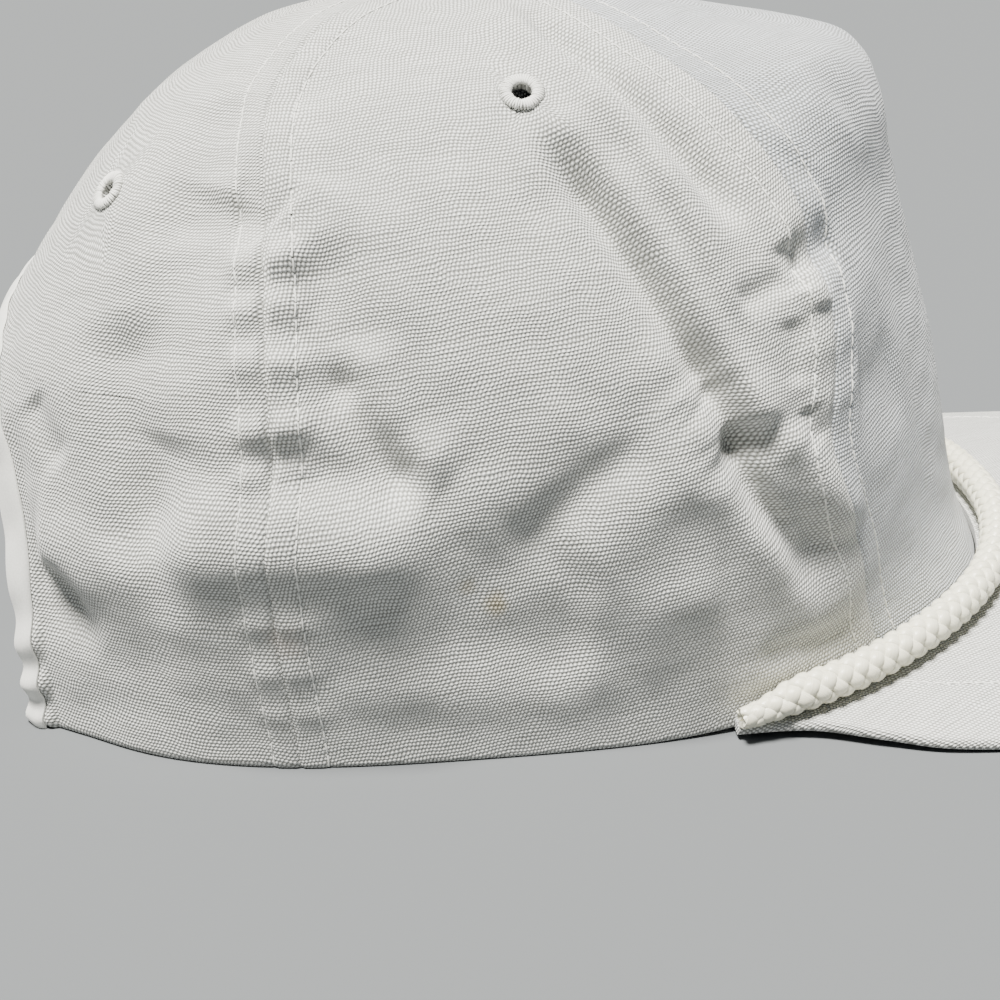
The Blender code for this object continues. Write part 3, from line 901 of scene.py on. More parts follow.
@dataclass(frozen=True)
class CottonCanvas:
    """Bleached cotton canvas in plain weave.

    Fat weft rows with shorter warp threads between them give bright staggered
    ovals. The low places between the threads are painted dark, as painted shade
    in the pinholes. The cloth is matt with a faint sheen. Each crest
    is one wave of the weave: half turns across, half turns up, and its share.
    The drift and the jitter of the threads are each a noise scale and a reach
    in mm. The slubs are long thick places of the weft.
    """

    name: str
    thread_code: str = "F3F3EE"
    # Colour of the gaps between threads: painted shade.
    gap_shade_code: str = "6E6E68"
    tint_code: str = "E6E8E5"
    tint_scale: float = 0.035
    row_pitch: float = 0.70
    column_pitch: float = 0.37
    drift: tuple[float, float] = (0.09, 2.4)
    jitter: tuple[float, float] = (1.3, 0.22)
    depth: float = 0.26
    level: float = 0.46
    crests: tuple[tuple[float, float, float], ...] = ((0.0, 2.0, 0.20), (1.0, 1.0, 0.22), (-1.0, 1.0, 0.14))
    slub_scale: tuple[float, float, float] = (0.10, 1.2, 1.0)
    slub_noise: tuple[float, float] = (0.3, 0.7)
    slub_share: tuple[float, float] = (0.78, 1.12)
    light_from: tuple[float, float] = (0.12, 0.72)
    roughness: float = 0.88
    sheen: float = 0.25
    sheen_roughness: float = 0.45
    specular: float = 0.25
    stains: tuple[Stain, ...] = ()
    stain_scale: float = 160.0
    stain_wander: float = 1.4
    stain_edge: tuple[float, float] = (0.7, 1.9)

    def build(self) -> bpy.types.Material:
        """Build the material."""
        material, shader, nodes = new_material(self.name, {
            "Roughness": self.roughness, "Sheen Weight": self.sheen,
            "Sheen Roughness": self.sheen_roughness, "Specular IOR Level": self.specular,
        })
        grain = nodes.get("ShaderNodeUVMap", uv_map="grain")
        place = grain
        for (scale, reach), detail in ((self.drift, 2.0), (self.jitter, 1.0)):
            sway = nodes.vector("SUBTRACT", nodes.noise(grain, scale, detail, "Color"), (0.5, 0.5, 0.5))
            place = nodes.vector("ADD", place, nodes.vector("SCALE", sway, reach))
        split = nodes.add("ShaderNodeSeparateXYZ", {0: place}).outputs
        column = nodes.calc("MULTIPLY", split[0], 1 / self.column_pitch)
        row = nodes.calc("MULTIPLY", split[1], 1 / self.row_pitch)
        total = nodes.get("ShaderNodeValue")
        total.default_value = self.level
        for across, up, share in self.crests:
            phase = nodes.calc("MULTIPLY", column, across * math.pi)
            phase = nodes.calc("MULTIPLY_ADD", row, up * math.pi, phase)
            total = nodes.calc("MULTIPLY_ADD", nodes.calc("COSINE", phase), share, total)
        stretch = nodes.get("ShaderNodeMapping", {"Vector": grain, "Scale": self.slub_scale})
        slub = nodes.remap(nodes.noise(stretch, 1.0, 2.0), self.slub_noise, self.slub_share)
        height = nodes.calc("MULTIPLY", total, slub)
        broad = nodes.noise(grain, self.tint_scale, 3.0)
        tint = nodes.mix(broad, linear(self.tint_code), linear(self.thread_code))
        # Low places of the weave take the gap colour: painted shade between the threads.
        colour = nodes.mix(nodes.remap(height, self.light_from, (0.0, 1.0)), linear(self.gap_shade_code), tint)
        colour = self.stain(nodes, colour)
        nodes.give(shader, colour, height, self.depth)
        return material

    def stain(self, nodes: Nodes, colour: bpy.types.NodeSocket) -> bpy.types.NodeSocket:
        """Lay the stains over a colour."""
        place = nodes.add("ShaderNodeTexCoord").outputs["Object"]
        patch = nodes.noise(place, self.stain_scale, 3.0)
        for stain in self.stains:
            spot = CROWN.folded(np.array([stain.angle]), np.array([stain.climb]))[0] + SHIFT
            gap = nodes.add("ShaderNodeVectorMath", {0: place, 1: tuple(spot * MM)}, operation="DISTANCE")
            reach = stain.reach * MM
            gap = nodes.calc("MULTIPLY_ADD", patch, reach * self.stain_wander, gap.outputs["Value"])
            near, far = self.stain_edge
            share = nodes.remap(gap, (reach * near, reach * far), (stain.strength, 0.0),
                                interpolation_type="SMOOTHSTEP")
            colour = nodes.mix(share, colour, linear(stain.code), "MULTIPLY")
        return colour


@dataclass(frozen=True)
class SpunThread:
    """Twisted cotton or polyester thread: soft, pale, with fine slanting ply lines."""

    name: str
    code: str = "F3F3EE"
    shade_code: str = "CFCFC8"
    ply: float = 0.5
    depth: float = 0.05
    roughness: float = 0.6
    sheen: float = 0.2

    def build(self) -> bpy.types.Material:
        """Build the material."""
        material, shader, nodes = new_material(self.name, {
            "Roughness": self.roughness, "Sheen Weight": self.sheen,
        })
        place = nodes.add("ShaderNodeTexCoord").outputs["Object"]
        fine = nodes.get("ShaderNodeTexNoise",
                         {"Vector": place, "Scale": 1 / (self.ply * MM), "Detail": 3.0, "Roughness": 0.6})
        colour = nodes.mix(fine, linear(self.shade_code), linear(self.code))
        nodes.give(shader, colour, fine, self.depth)
        return material


@dataclass(frozen=True)
class SatinCord:
    """Plaited polypropylene cord: ivory filaments that lie side by side and shine."""

    name: str
    code: str = "F5F2DE"
    shade_code: str = "C6C3AB"
    filament: float = 0.12
    depth: float = 0.05
    roughness: float = 0.28
    sheen: float = 0.15
    glow: float = 0.12
    glow_radius: tuple[float, float, float] = (0.0012, 0.0011, 0.0009)
    stretch: float = 0.06

    def build(self) -> bpy.types.Material:
        """Build the material."""
        material, shader, nodes = new_material(self.name, {
            "Roughness": self.roughness, "Sheen Weight": self.sheen, "Subsurface Weight": self.glow,
            "Subsurface Radius": self.glow_radius, "Subsurface Scale": 1.0,
        })
        strand = nodes.add("ShaderNodeAttribute", attribute_name="strand_place").outputs["Vector"]
        scale = (1 / self.filament, 1 / self.filament, self.stretch / self.filament)
        lines = nodes.get("ShaderNodeMapping", {"Vector": strand, "Scale": scale})
        fine = nodes.noise(lines, 1.0, 2.0)
        colour = nodes.mix(fine, linear(self.shade_code), linear(self.code))
        nodes.give(shader, colour, fine, self.depth)
        return material


def set_input(modifier: bpy.types.NodesModifier, label: str, value: Any) -> None:
    """Set a named input of a geometry nodes modifier by its identifier.

    Args:
        modifier: The modifier.
        label: Name of the input.
        value: Value to set.
    """
    for item in modifier.node_group.interface.items_tree:
        if item.item_type == "SOCKET" and item.in_out == "INPUT" and item.name == label:
            modifier[item.identifier] = value
            return
    raise KeyError(label)


SOCKETS = {float: "NodeSocketFloat", int: "NodeSocketInt", type(None): "NodeSocketMaterial"}


def new_tree(name: str, inputs: dict[str, Any]) -> tuple[Nodes, Any]:
    """Start a geometry nodes tree with named inputs.

    Args:
        name: Tree name.
        inputs: Input name to default value. None stands for a material.

    Returns:
        The tree's nodes and its inputs as sockets by name.
    """
    tree = bpy.data.node_groups.new(name, "GeometryNodeTree")
    for way in ("INPUT", "OUTPUT"):
        tree.interface.new_socket("Geometry", in_out=way, socket_type="NodeSocketGeometry")
    for label, value in inputs.items():
        socket = tree.interface.new_socket(label, in_out="INPUT", socket_type=SOCKETS[type(value)])
        if value is not None:
            socket.default_value = value
    return Nodes(tree), tree.nodes.new("NodeGroupInput").outputs


def close_tree(nodes: Nodes, geometry: bpy.types.NodeSocket,
               material: bpy.types.NodeSocket) -> bpy.types.NodeTree:
    """End a tree in Realize Instances and Set Material."""
    real = nodes.get("GeometryNodeRealizeInstances", {0: geometry})
    smooth = nodes.get("GeometryNodeSetShadeSmooth", {"Geometry": real})
    dressed = nodes.get("GeometryNodeSetMaterial", {"Geometry": smooth, "Material": material})
    nodes.add("NodeGroupOutput", {0: dressed})
    return nodes.tree


class Lay(NamedTuple):
    """How copies of a piece are laid along a path with an outward direction.

    The mode is how the path is shared out and the spacing is the input that
    sets it. A ring stands across the path, any other piece lies along it.
    """

    mode: str
    spacing: str
    is_ring: bool
    sway: tuple[float, float, float]
    size: tuple[float, float]

    def close(self, nodes: Nodes, given: Any, piece: bpy.types.NodeSocket) -> bpy.types.NodeTree:
        """Lay the copies, each a little turned and scaled, and end the tree."""
        path = nodes.get("GeometryNodeMeshToCurve", {0: given["Geometry"]})
        spaced = nodes.get("GeometryNodeResampleCurve",
                           {"Curve": path, self.mode.title(): given[self.spacing]}, mode=self.mode)
        axes = [nodes.attribute("outward"), nodes.get("GeometryNodeInputTangent")]
        if self.is_ring:
            axes.reverse()
        facing = nodes.get("FunctionNodeAxesToRotation", dict(enumerate(axes)),
                           primary_axis="Z", secondary_axis="Y" if self.is_ring else "X")
        sway = nodes.get("FunctionNodeRandomValue",
                         {0: tuple(-v for v in self.sway), 1: self.sway, "Seed": given["Seed"]},
                         data_type="FLOAT_VECTOR")
        size = nodes.add("FunctionNodeRandomValue", {2: self.size[0], 3: self.size[1], "Seed": given["Seed"]},
                         data_type="FLOAT").outputs[1]
        laid = nodes.get("GeometryNodeInstanceOnPoints",
                         {"Points": spaced, "Instance": piece, "Rotation": facing, "Scale": size})
        swayed = nodes.get("GeometryNodeRotateInstances",
                           {"Instances": laid, "Rotation": nodes.vector("SCALE", sway, given["Sway"]),
                            "Local Space": True})
        return close_tree(nodes, swayed, given["Material"])


def stitch_tree() -> bpy.types.NodeTree:
    """Tree that lays arched stitches end to end along paths with an outward direction."""
    nodes, given = new_tree("stitch_row", {
        "Pitch": 0.0025, "Stitch Length": 0.0021, "Thread Radius": 0.0002, "Rise": 0.0003,
        "Sway": 0.08, "Seed": 3, "Material": None,
    })
    half = nodes.calc("MULTIPLY", given["Stitch Length"], 0.5)
    sink = nodes.calc("MULTIPLY", given["Rise"], -0.9)
    top = nodes.calc("MULTIPLY", given["Rise"], 1.3)
    places = {"Start": (nodes.calc("MULTIPLY", half, -1.0), sink), "Middle": (0.0, top), "End": (half, sink)}
    ends = {label: nodes.get("ShaderNodeCombineXYZ", {0: x, 2: z}) for label, (x, z) in places.items()}
    arc = nodes.get("GeometryNodeCurveQuadraticBezier", {"Resolution": 5, **ends})
    ring = nodes.ring(6, given["Thread Radius"])
    stitch = nodes.get("GeometryNodeCurveToMesh", {"Curve": arc, "Profile Curve": ring, "Fill Caps": True})
    return Lay("LENGTH", "Pitch", False, (0.0, 0.0, 1.0), (0.9, 1.08)).close(nodes, given, stitch)


def eyelet_tree() -> bpy.types.NodeTree:
    """Tree that wraps thread round a ring that follows a path."""
    nodes, given = new_tree("eyelet", {
        "Wraps": 44, "Half Width": 0.001, "Half Height": 0.00075, "Thread Radius": 0.00017,
        "Sway": 0.12, "Seed": 5, "Material": None,
    })
    oval = nodes.get("ShaderNodeCombineXYZ", {0: given["Half Width"], 1: given["Half Height"], 2: 1.0})
    loop = nodes.get("GeometryNodeTransform", {"Geometry": nodes.ring(14, 1.0), "Scale": oval})
    wrap = nodes.get("GeometryNodeCurveToMesh",
                     {"Curve": loop, "Profile Curve": nodes.ring(5, given["Thread Radius"])})
    return Lay("COUNT", "Wraps", True, (0.2, 1.0, 0.2), (0.94, 1.12)).close(nodes, given, wrap)


def braid_tree() -> bpy.types.NodeTree:
    """Tree that plaits flattened strands about a path, all of them turning one way."""
    nodes, given = new_tree("braid", {
        "Strands": 4, "Turn Length": 0.0144, "Lay Radius": 0.0022, "Over And Under": 0.0003,
        "Strand Radius": 0.0012, "Direction": 1.0, "Flatten": 0.75, "Material": None,
    })
    path = nodes.get("GeometryNodeMeshToCurve", {0: given["Geometry"]})
    spaced = nodes.get("GeometryNodeResampleCurve", {"Curve": path, "Length": STRAND_STEP * MM},
                       mode="LENGTH")
    copies = nodes.add("GeometryNodeDuplicateElements", {"Geometry": spaced, "Amount": given["Strands"]},
                       domain="SPLINE").outputs
    run = nodes.add("GeometryNodeSplineParameter").outputs["Length"]
    turns = nodes.calc("DIVIDE", run, given["Turn Length"])
    start = nodes.calc("DIVIDE", copies["Duplicate Index"], given["Strands"])
    turn = nodes.calc("ADD", nodes.calc("MULTIPLY", turns, given["Direction"]), start)
    turn = nodes.calc("MULTIPLY", turn, 2 * math.pi)
    cross = nodes.calc("MULTIPLY", nodes.calc("MULTIPLY", turns, given["Strands"]), 2 * math.pi)
    weave = nodes.calc("MULTIPLY", nodes.calc("COSINE", cross), given["Direction"])
    thick = nodes.attribute("thick", "FLOAT")
    radius = nodes.calc("MULTIPLY_ADD", weave, given["Over And Under"], given["Lay Radius"])
    radius = nodes.calc("MULTIPLY", radius, thick)
    outward = nodes.vector("SCALE", nodes.attribute("outward"), nodes.calc("COSINE", turn))
    aside = nodes.vector("SCALE", nodes.attribute("aside"), nodes.calc("SINE", turn))
    kept = nodes.add("GeometryNodeCaptureAttribute", {"Geometry": copies[0]}, domain="POINT")
    for kind, label, source in (("VECTOR", "spoke", nodes.vector("ADD", outward, aside)),
                                ("FLOAT", "radius", radius), ("FLOAT", "run", run)):
        kept.capture_items.new(kind, label)
        nodes.tree.links.new(source, kept.inputs[len(kept.capture_items)])
    line, spoke, radius, run = (kept.outputs[k] for k in range(4))
    offset = nodes.vector("SCALE", spoke, radius)
    laid = nodes.get("GeometryNodeSetPosition", {"Geometry": line, "Offset": offset})
    size = nodes.get("GeometryNodeSetCurveRadius", {"Curve": laid, "Radius": thick})
    facing = nodes.get("GeometryNodeSetCurveNormal", {"Curve": size, "Normal": spoke}, mode="FREE")
    oval = nodes.get("ShaderNodeCombineXYZ", {0: given["Flatten"], 1: 1.0, 2: 1.0})
    ring = nodes.ring(12, given["Strand Radius"])
    ring = nodes.get("GeometryNodeTransform", {"Geometry": ring, "Scale": oval})
    rim = nodes.add("GeometryNodeCaptureAttribute", {"Geometry": ring}, domain="POINT")
    rim.capture_items.new("VECTOR", "spot")
    nodes.tree.links.new(nodes.get("GeometryNodeInputPosition"), rim.inputs[1])
    swept = nodes.get("GeometryNodeCurveToMesh",
                      {"Curve": facing, "Profile Curve": rim.outputs[0], "Fill Caps": True})
    flat = nodes.add("ShaderNodeSeparateXYZ", {0: rim.outputs[1]}).outputs
    joined = nodes.get("ShaderNodeCombineXYZ", {0: flat[0], 1: flat[1], 2: run})
    place = nodes.vector("SCALE", joined, 1 / MM)
    stored = nodes.get("GeometryNodeStoreNamedAttribute",
                       {"Geometry": swept, "Name": "strand_place", "Value": place},
                       data_type="FLOAT_VECTOR", domain="POINT")
    return close_tree(nodes, stored, given["Material"])


def path_object(name: str, lines: list[np.ndarray], vectors: dict[str, list[np.ndarray]],
                numbers: Optional[dict[str, list[np.ndarray]]] = None) -> bpy.types.Object:
    """Open lines as a mesh of edges with attributes, for a tree to follow.

    Args:
        name: Object name.
        lines: Points in mm of each line, in the crown's own frame.
        vectors: Attribute name to unit vectors of each line.
        numbers: Attribute name to numbers of each line.

    Returns:
        The new object.
    """
    points = (np.concatenate(lines) + SHIFT) * MM
    edges = []
    start = 0
    for line in lines:
        edges += [(start + k, start + k + 1) for k in range(len(line) - 1)]
        start += len(line)
    mesh = bpy.data.meshes.new(name)
    mesh.from_pydata([tuple(p) for p in points], edges, [])
    for label, sets in vectors.items():
        layer = mesh.attributes.new(label, "FLOAT_VECTOR", "POINT")
        layer.data.foreach_set("vector", np.concatenate(sets).astype(np.float32).reshape(-1))
    for label, sets in (numbers or {}).items():
        layer = mesh.attributes.new(label, "FLOAT", "POINT")
        layer.data.foreach_set("value", np.concatenate(sets).astype(np.float32))
    item = bpy.data.objects.new(name, mesh)
    bpy.context.scene.collection.objects.link(item)
    return item


def grown(item: bpy.types.Object, tree: bpy.types.NodeTree, settings: dict[str, Any]) -> bpy.types.Object:
    """Run a tree on an object and keep the result as a plain mesh.

    Args:
        item: Object with the path.
        tree: Geometry nodes tree.
        settings: Input name to value.

    Returns:
        The same object, with the result as its mesh.
    """
    modifier = item.modifiers.new("grow", "NODES")
    modifier.node_group = tree
    for label, value in settings.items():
        set_input(modifier, label, value)
    item.update_tag()
    bpy.context.view_layer.update()
    ready = item.evaluated_get(bpy.context.evaluated_depsgraph_get())
    mesh = bpy.data.meshes.new_from_object(ready)
    item.modifiers.remove(modifier)
    item.data = mesh
    mesh.name = item.name
    return item


def front_seam_rows() -> np.ndarray:
    """Join between front and side panels: climb, angle."""
    return np.array([
        (0.00, 51.0), (0.19, 54.8), (0.38, 59.6), (0.50, 57.0),
        (0.63, 55.0), (0.80, 57.6), (0.90, 58.5), (1.00, 56.0),
    ])


def side_seam_rows() -> np.ndarray:
    """Join between side and back panels: climb, angle."""
    return np.array([
        (0.00, 105.0), (0.30, 106.2), (0.43, 105.6), (0.55, 106.8),
        (0.70, 110.8), (0.80, 116.3), (0.90, 124.0), (1.00, 127.0),
    ])


# The first 18 folds are the source's, the others are smaller ones that the photo shows
FOLDS = (
    Fold("crease_by_front_seam", 78.0, 0.935, 70.5, 0.82, 64.5, 0.63, 3.2, -2.6),
    Fold("ridge_by_crease", 86.0, 0.945, 74.0, 0.81, 69.0, 0.56, 4.8, 2.2),
    Fold("long_valley_upper", 82.0, 0.80, 76.5, 0.62, 72.0, 0.43, 8.0, -4.6),
    Fold("long_valley_lower", 72.0, 0.43, 68.0, 0.33, 58.5, 0.14, 6.0, -5.0),
    Fold("long_valley_twin", 69.5, 0.45, 65.0, 0.34, 59.5, 0.17, 3.0, -1.5),
    Fold("ridge_behind_valley", 75.0, 0.50, 70.0, 0.33, 54.5, 0.09, 7.0, 3.2),
    Fold("ridge_before_valley", 66.5, 0.43, 62.0, 0.34, 54.5, 0.23, 4.5, 2.4),
    Fold("slanting_valley", 91.0, 0.28, 85.5, 0.38, 76.0, 0.49, 6.0, -2.4),
    Fold("slanting_ridge", 92.0, 0.32, 88.8, 0.41, 84.0, 0.50, 7.0, 2.0),
    Fold("band_by_side_seam", 105.0, 0.68, 97.5, 0.56, 92.0, 0.40, 7.0, -3.0),
    Fold("level_ridge", 124.0, 0.365, 108.0, 0.372, 91.0, 0.34, 8.0, 3.4),
    Fold("level_hollow", 124.0, 0.26, 108.0, 0.27, 91.0, 0.29, 8.0, -2.4),
    Fold("back_valley", 133.0, 0.60, 125.0, 0.46, 118.0, 0.30, 7.0, -3.4),
    Fold("hem_valley", 152.0, 0.46, 149.0, 0.28, 135.0, 0.18, 6.0, -2.6),
    Fold("front_seam_dent", 60.0, 0.61, 55.0, 0.60, 50.0, 0.60, 5.0, -2.4),
    Fold("rope_crease", 70.0, 0.10, 63.0, 0.09, 55.0, 0.08, 3.5, -1.4),
    Fold("upper_seam_dent", 118.0, 0.72, 112.0, 0.715, 108.0, 0.70, 6.0, -2.0),
    Fold("back_soft_dent", 128.0, 0.85, 128.0, 0.76, 124.0, 0.66, 6.0, -1.8),
    Fold("valley_lip_upper", 87.6, 0.813, 80.1, 0.656, 74.4, 0.489, 4.5, 1.9),
    Fold("valley_lip_lower", 77.9, 0.567, 72.2, 0.398, 62.2, 0.145, 4.5, 2.0),
    Fold("thin_ridge_between", 72.7, 0.766, 70.4, 0.646, 68.4, 0.543, 2.4, 0.9),
    Fold("thin_ridge_in_valley", 70.2, 0.425, 66.7, 0.327, 62.4, 0.226, 1.5, 0.9),
    Fold("outer_crease", 78.1, 0.931, 69.7, 0.813, 63.9, 0.646, 3.2, -1.6),
    Fold("seam_dent", 59.9, 0.630, 59.7, 0.597, 59.9, 0.565, 3.0, -1.8),
    Fold("seam_dent_slant", 68.9, 0.572, 64.9, 0.582, 60.9, 0.589, 2.5, -1.3),
    Fold("seam_knob", 58.0, 0.592, 58.0, 0.565, 58.2, 0.538, 3.0, 1.4),
    Fold("seam_shade", 62.4, 0.548, 62.9, 0.506, 63.4, 0.459, 3.0, -1.3),
    Fold("seam_shade_low", 62.9, 0.437, 62.4, 0.413, 61.4, 0.381, 2.6, -1.1),
    Fold("slant_wall", 78.9, 0.430, 85.4, 0.376, 90.1, 0.292, 3.6, -1.0),
    Fold("slant_lip", 80.1, 0.457, 86.6, 0.405, 90.6, 0.329, 5.0, 0.4),
    Fold("slant_ridge_below", 86.8, 0.270, 80.6, 0.339, 74.4, 0.403, 7.0, 1.6),
    Fold("middle_fill", 86.8, 0.233, 79.1, 0.236, 72.4, 0.238, 10.0, 1.6),
    Fold("middle_fill_low", 84.0, 0.165, 74.0, 0.170, 65.0, 0.165, 12.0, 0.8),
    Fold("slanting_fill", 91.0, 0.280, 85.5, 0.380, 76.0, 0.490, 6.0, 2.0),
    Fold("slanting_ease", 92.0, 0.320, 88.8, 0.410, 84.0, 0.500, 7.0, -1.2),
    Fold("valley_join", 74.0, 0.480, 72.0, 0.435, 69.8, 0.365, 6.0, -2.4),
    Fold("valley_join_bank", 76.2, 0.478, 74.6, 0.440, 73.2, 0.400, 4.0, -1.6),
    Fold("front_hollow", 54.0, 0.420, 47.0, 0.400, 38.0, 0.390, 9.0, -1.8),
    Fold("front_bulge", 54.0, 0.700, 47.0, 0.720, 38.0, 0.730, 9.0, 1.0),
    Fold("hollow_fill", 124.0, 0.260, 108.0, 0.270, 91.0, 0.290, 8.0, 2.0),
    Fold("hollow_fill_low", 126.2, 0.235, 103.5, 0.230, 90.6, 0.232, 12.0, 1.8),
    Fold("skirt_fill", 124.2, 0.155, 99.3, 0.135, 88.0, 0.130, 10.0, 0.3),
    Fold("crescent", 100.3, 0.562, 96.8, 0.459, 92.6, 0.373, 4.5, -3.6),
    Fold("crescent_crest", 98.3, 0.580, 94.8, 0.479, 91.3, 0.395, 6.0, 2.4),
    Fold("wedge_ridge", 122.0, 0.310, 105.0, 0.305, 91.5, 0.300, 7.0, 3.2),
    Fold("wedge_lift", 124.0, 0.385, 108.0, 0.392, 91.0, 0.360, 6.0, -1.2),
    Fold("back_ridge_low", 148.0, 0.300, 136.0, 0.285, 120.0, 0.300, 8.0, 2.4),
    Fold("wedge_hollow", 109.0, 0.425, 99.1, 0.412, 92.6, 0.375, 4.5, -1.8),
    Fold("back_hollow", 118.7, 0.737, 121.2, 0.656, 126.7, 0.499, 9.0, -2.4),
    Fold("back_hollow_low", 118.2, 0.469, 121.2, 0.381, 131.4, 0.290, 7.0, -1.6),
    Fold("hem_fold", 145.1, 0.268, 141.1, 0.216, 132.9, 0.155, 4.0, -1.6),
    Fold("hem_fold_high", 148.9, 0.479, 144.6, 0.442, 139.2, 0.398, 4.0, -1.3),
    Fold("seam_side_shade", 105.0, 0.629, 102.0, 0.558, 98.1, 0.479, 5.0, -1.4),
    Fold("top_soft", 119.5, 0.879, 104.3, 0.798, 102.0, 0.720, 8.0, -1.2),
    Fold("lower_soft", 100.5, 0.253, 92.1, 0.187, 84.1, 0.169, 10.0, -1.2),
    Fold("lower_soft_ridge", 101.3, 0.135, 90.8, 0.093, 80.9, 0.088, 9.0, 1.0),
)

SIDE_PUCKERS = (
    Pucker(0.655, 1.5, 2.9, 0.1), Pucker(0.603, 1.4, 2.6, 0.1), Pucker(0.545, 1.4, 2.8, 0.0),
    Pucker(0.470, 1.4, 3.0, 0.1), Pucker(0.418, 1.0, 2.4, 0.1), Pucker(0.225, 0.7, 2.8, 0.0),
    Pucker(0.150, 0.5, 2.8, 0.0), Pucker(0.085, 0.4, 2.6, 0.0),
)
FRONT_PUCKERS = (
    Pucker(0.640, 0.9, 3.6, 0.1), Pucker(0.575, 0.9, 3.4, -0.1), Pucker(0.500, 0.6, 3.2, 0.0),
    Pucker(0.430, 0.6, 3.4, 0.0),
)

SIDE_VENT = Vent(85.2, 0.834)
BACK_VENT = Vent(148.2, 0.718)

CREASES = (
    Crease("valley_floor", (
        (86.2, 0.805), (83.6, 0.764), (80.9, 0.712), (78.6, 0.656), (76.9, 0.609), (75.4, 0.558),
        (73.4, 0.501), (71.2, 0.430), (69.4, 0.346), (65.4, 0.263), (60.7, 0.142),
    ), 3.4, -4.6),
    Crease("valley_crest", (
        (83.2, 0.825), (80.6, 0.784), (77.9, 0.729), (75.9, 0.671), (74.1, 0.621), (72.7, 0.570),
        (70.7, 0.511), (68.4, 0.437), (66.7, 0.356), (62.2, 0.270), (56.7, 0.142),
    ), 3.8, 3.2),
)

CROWN = CrownForm(folds=FOLDS, creases=CREASES)
BUTTON_LOW, BUTTON_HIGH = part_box("top_button")
SHIFT = np.array([0.0, (BUTTON_LOW[1] + BUTTON_HIGH[1]) / 2 / MM + CROWN.axis, 0.0])


@dataclass
class Stitcher:
    """Sewn stitches along lines, with their sizes in mm."""

    thread: bpy.types.Material
    tree: bpy.types.NodeTree
    pitch: float = 2.6
    length: float = 2.2
    thread_radius: float = 0.17
    rise: float = 0.16

    def sew(self, name: str, lines: list[np.ndarray], facing: list[np.ndarray]) -> None:
        """Lay stitches along lines.

        Args:
            name: Object name.
            lines: Points in mm of each line.
            facing: Outward directions at the same points.
        """
        item = path_object(name, lines, {"outward": facing})
        grown(item, self.tree, {
            "Pitch": self.pitch * MM, "Stitch Length": self.length * MM,
            "Thread Radius": self.thread_radius * MM, "Rise": self.rise * MM, "Material": self.thread,
        })
        hand_over(item)


@dataclass
class Crown:
    """The five panels, their seams and the stitches on them."""

    form: CrownForm
    cloth: bpy.types.Material
    # Copy of the canvas painted a cooler, darker grey: painted shade for the front panel.
    front_cloth_painted_shade: bpy.types.Material
    stitcher: Stitcher
    gap: float = 0.04
    stitch_span: tuple[float, float] = (0.012, 0.955)
    stitch_points: int = 420
    stitch_lift: float = 0.10

    def edge(self, seam: Seam, toward: float) -> Surface:
        """Edge of a panel beside a seam, as a function of climb."""
        return lambda climb: seam.offset_angle(self.form, np.asarray(climb, float), toward * self.gap / 2)

    def back_edge(self, side: Side) -> Surface:
        """Rear edge of a back panel: the opening's edge, then the centre seam."""
        def place(climb: np.ndarray) -> np.ndarray:
            width = self.form.half_width * np.maximum(curve_value(climb, self.form.dome, 1), 0.02)
            share = np.degrees((0.5 * self.gap / width) ** (self.form.back_squareness / 2))
            return side.value * (180.0 - self.form.opening_edge(climb) - share)
        return place

    def build(self) -> None:
        """Build the panels and their stitches."""
        for side in Side:
            word = side.name.lower()
            self.form.seams += [
                Seam("front_seam_" + word, side, front_seam_rows(), plateau=0.1, groove=0.22,
                     stitch_groove=0.14, puckers=FRONT_PUCKERS),
                Seam("side_seam_" + word, side, side_seam_rows(), puckers=SIDE_PUCKERS),
            ]
        self.form.prepare()
        front_right, side_right, front_left, side_left = self.form.seams
        plans = {
            "front_panel": (self.edge(front_left, 1.0), self.edge(front_right, -1.0), 230, 250, {
                "grain_turn": -4.0}),
            "side_panel_right": (self.edge(front_right, 1.0), self.edge(side_right, -1.0), 280, 270, {
                "grain_turn": 7.0, "holes": (Hole(*SIDE_VENT.on(Side.RIGHT), 2.15),)}),
            "back_panel_right": (self.edge(side_right, 1.0), self.back_edge(Side.RIGHT), 240, 190, {
                "grain_turn": -3.0, "holes": (Hole(*BACK_VENT.on(Side.RIGHT), 1.9),), "arch_rows": 110}),
            "side_panel_left": (self.edge(side_left, 1.0), self.edge(front_left, -1.0), 180, 170, {
                "grain_turn": -7.0, "holes": (Hole(*SIDE_VENT.on(Side.LEFT), 1.9, 2),)}),
            "back_panel_left": (self.back_edge(Side.LEFT), self.edge(side_left, -1.0), 170, 120, {
                "grain_turn": 3.0, "holes": (Hole(*BACK_VENT.on(Side.LEFT), 1.9, 2),), "arch_rows": 80}),
        }
        for node, (left, right, rows, columns, more) in plans.items():
            panel = CrownPanel(node + "_cloth", self.form, left, right, rows, columns, **more)
            # The front panel gets the canvas copy with painted shade.
            finish = self.front_cloth_painted_shade if node == "front_panel" else self.cloth
            hand_over(panel.build(), node, finish)
        self.build_stitches()

    def build_stitches(self) -> None:
        """Lay the stitch rows beside every seam."""
        climb = np.linspace(*self.stitch_span, self.stitch_points)
        for seam in self.form.seams:
            lines, facing = [], []
            for offset in (-seam.stitch_offset, seam.stitch_offset):
                angle = seam.offset_angle(self.form, climb, offset)
                out = self.form.normal(self.form.surface, angle, climb)
                lines.append(self.form.surface(angle, climb) + out * self.stitch_lift)
                facing.append(out)
            self.stitcher.sew(seam.name + "_stitches", lines, facing)


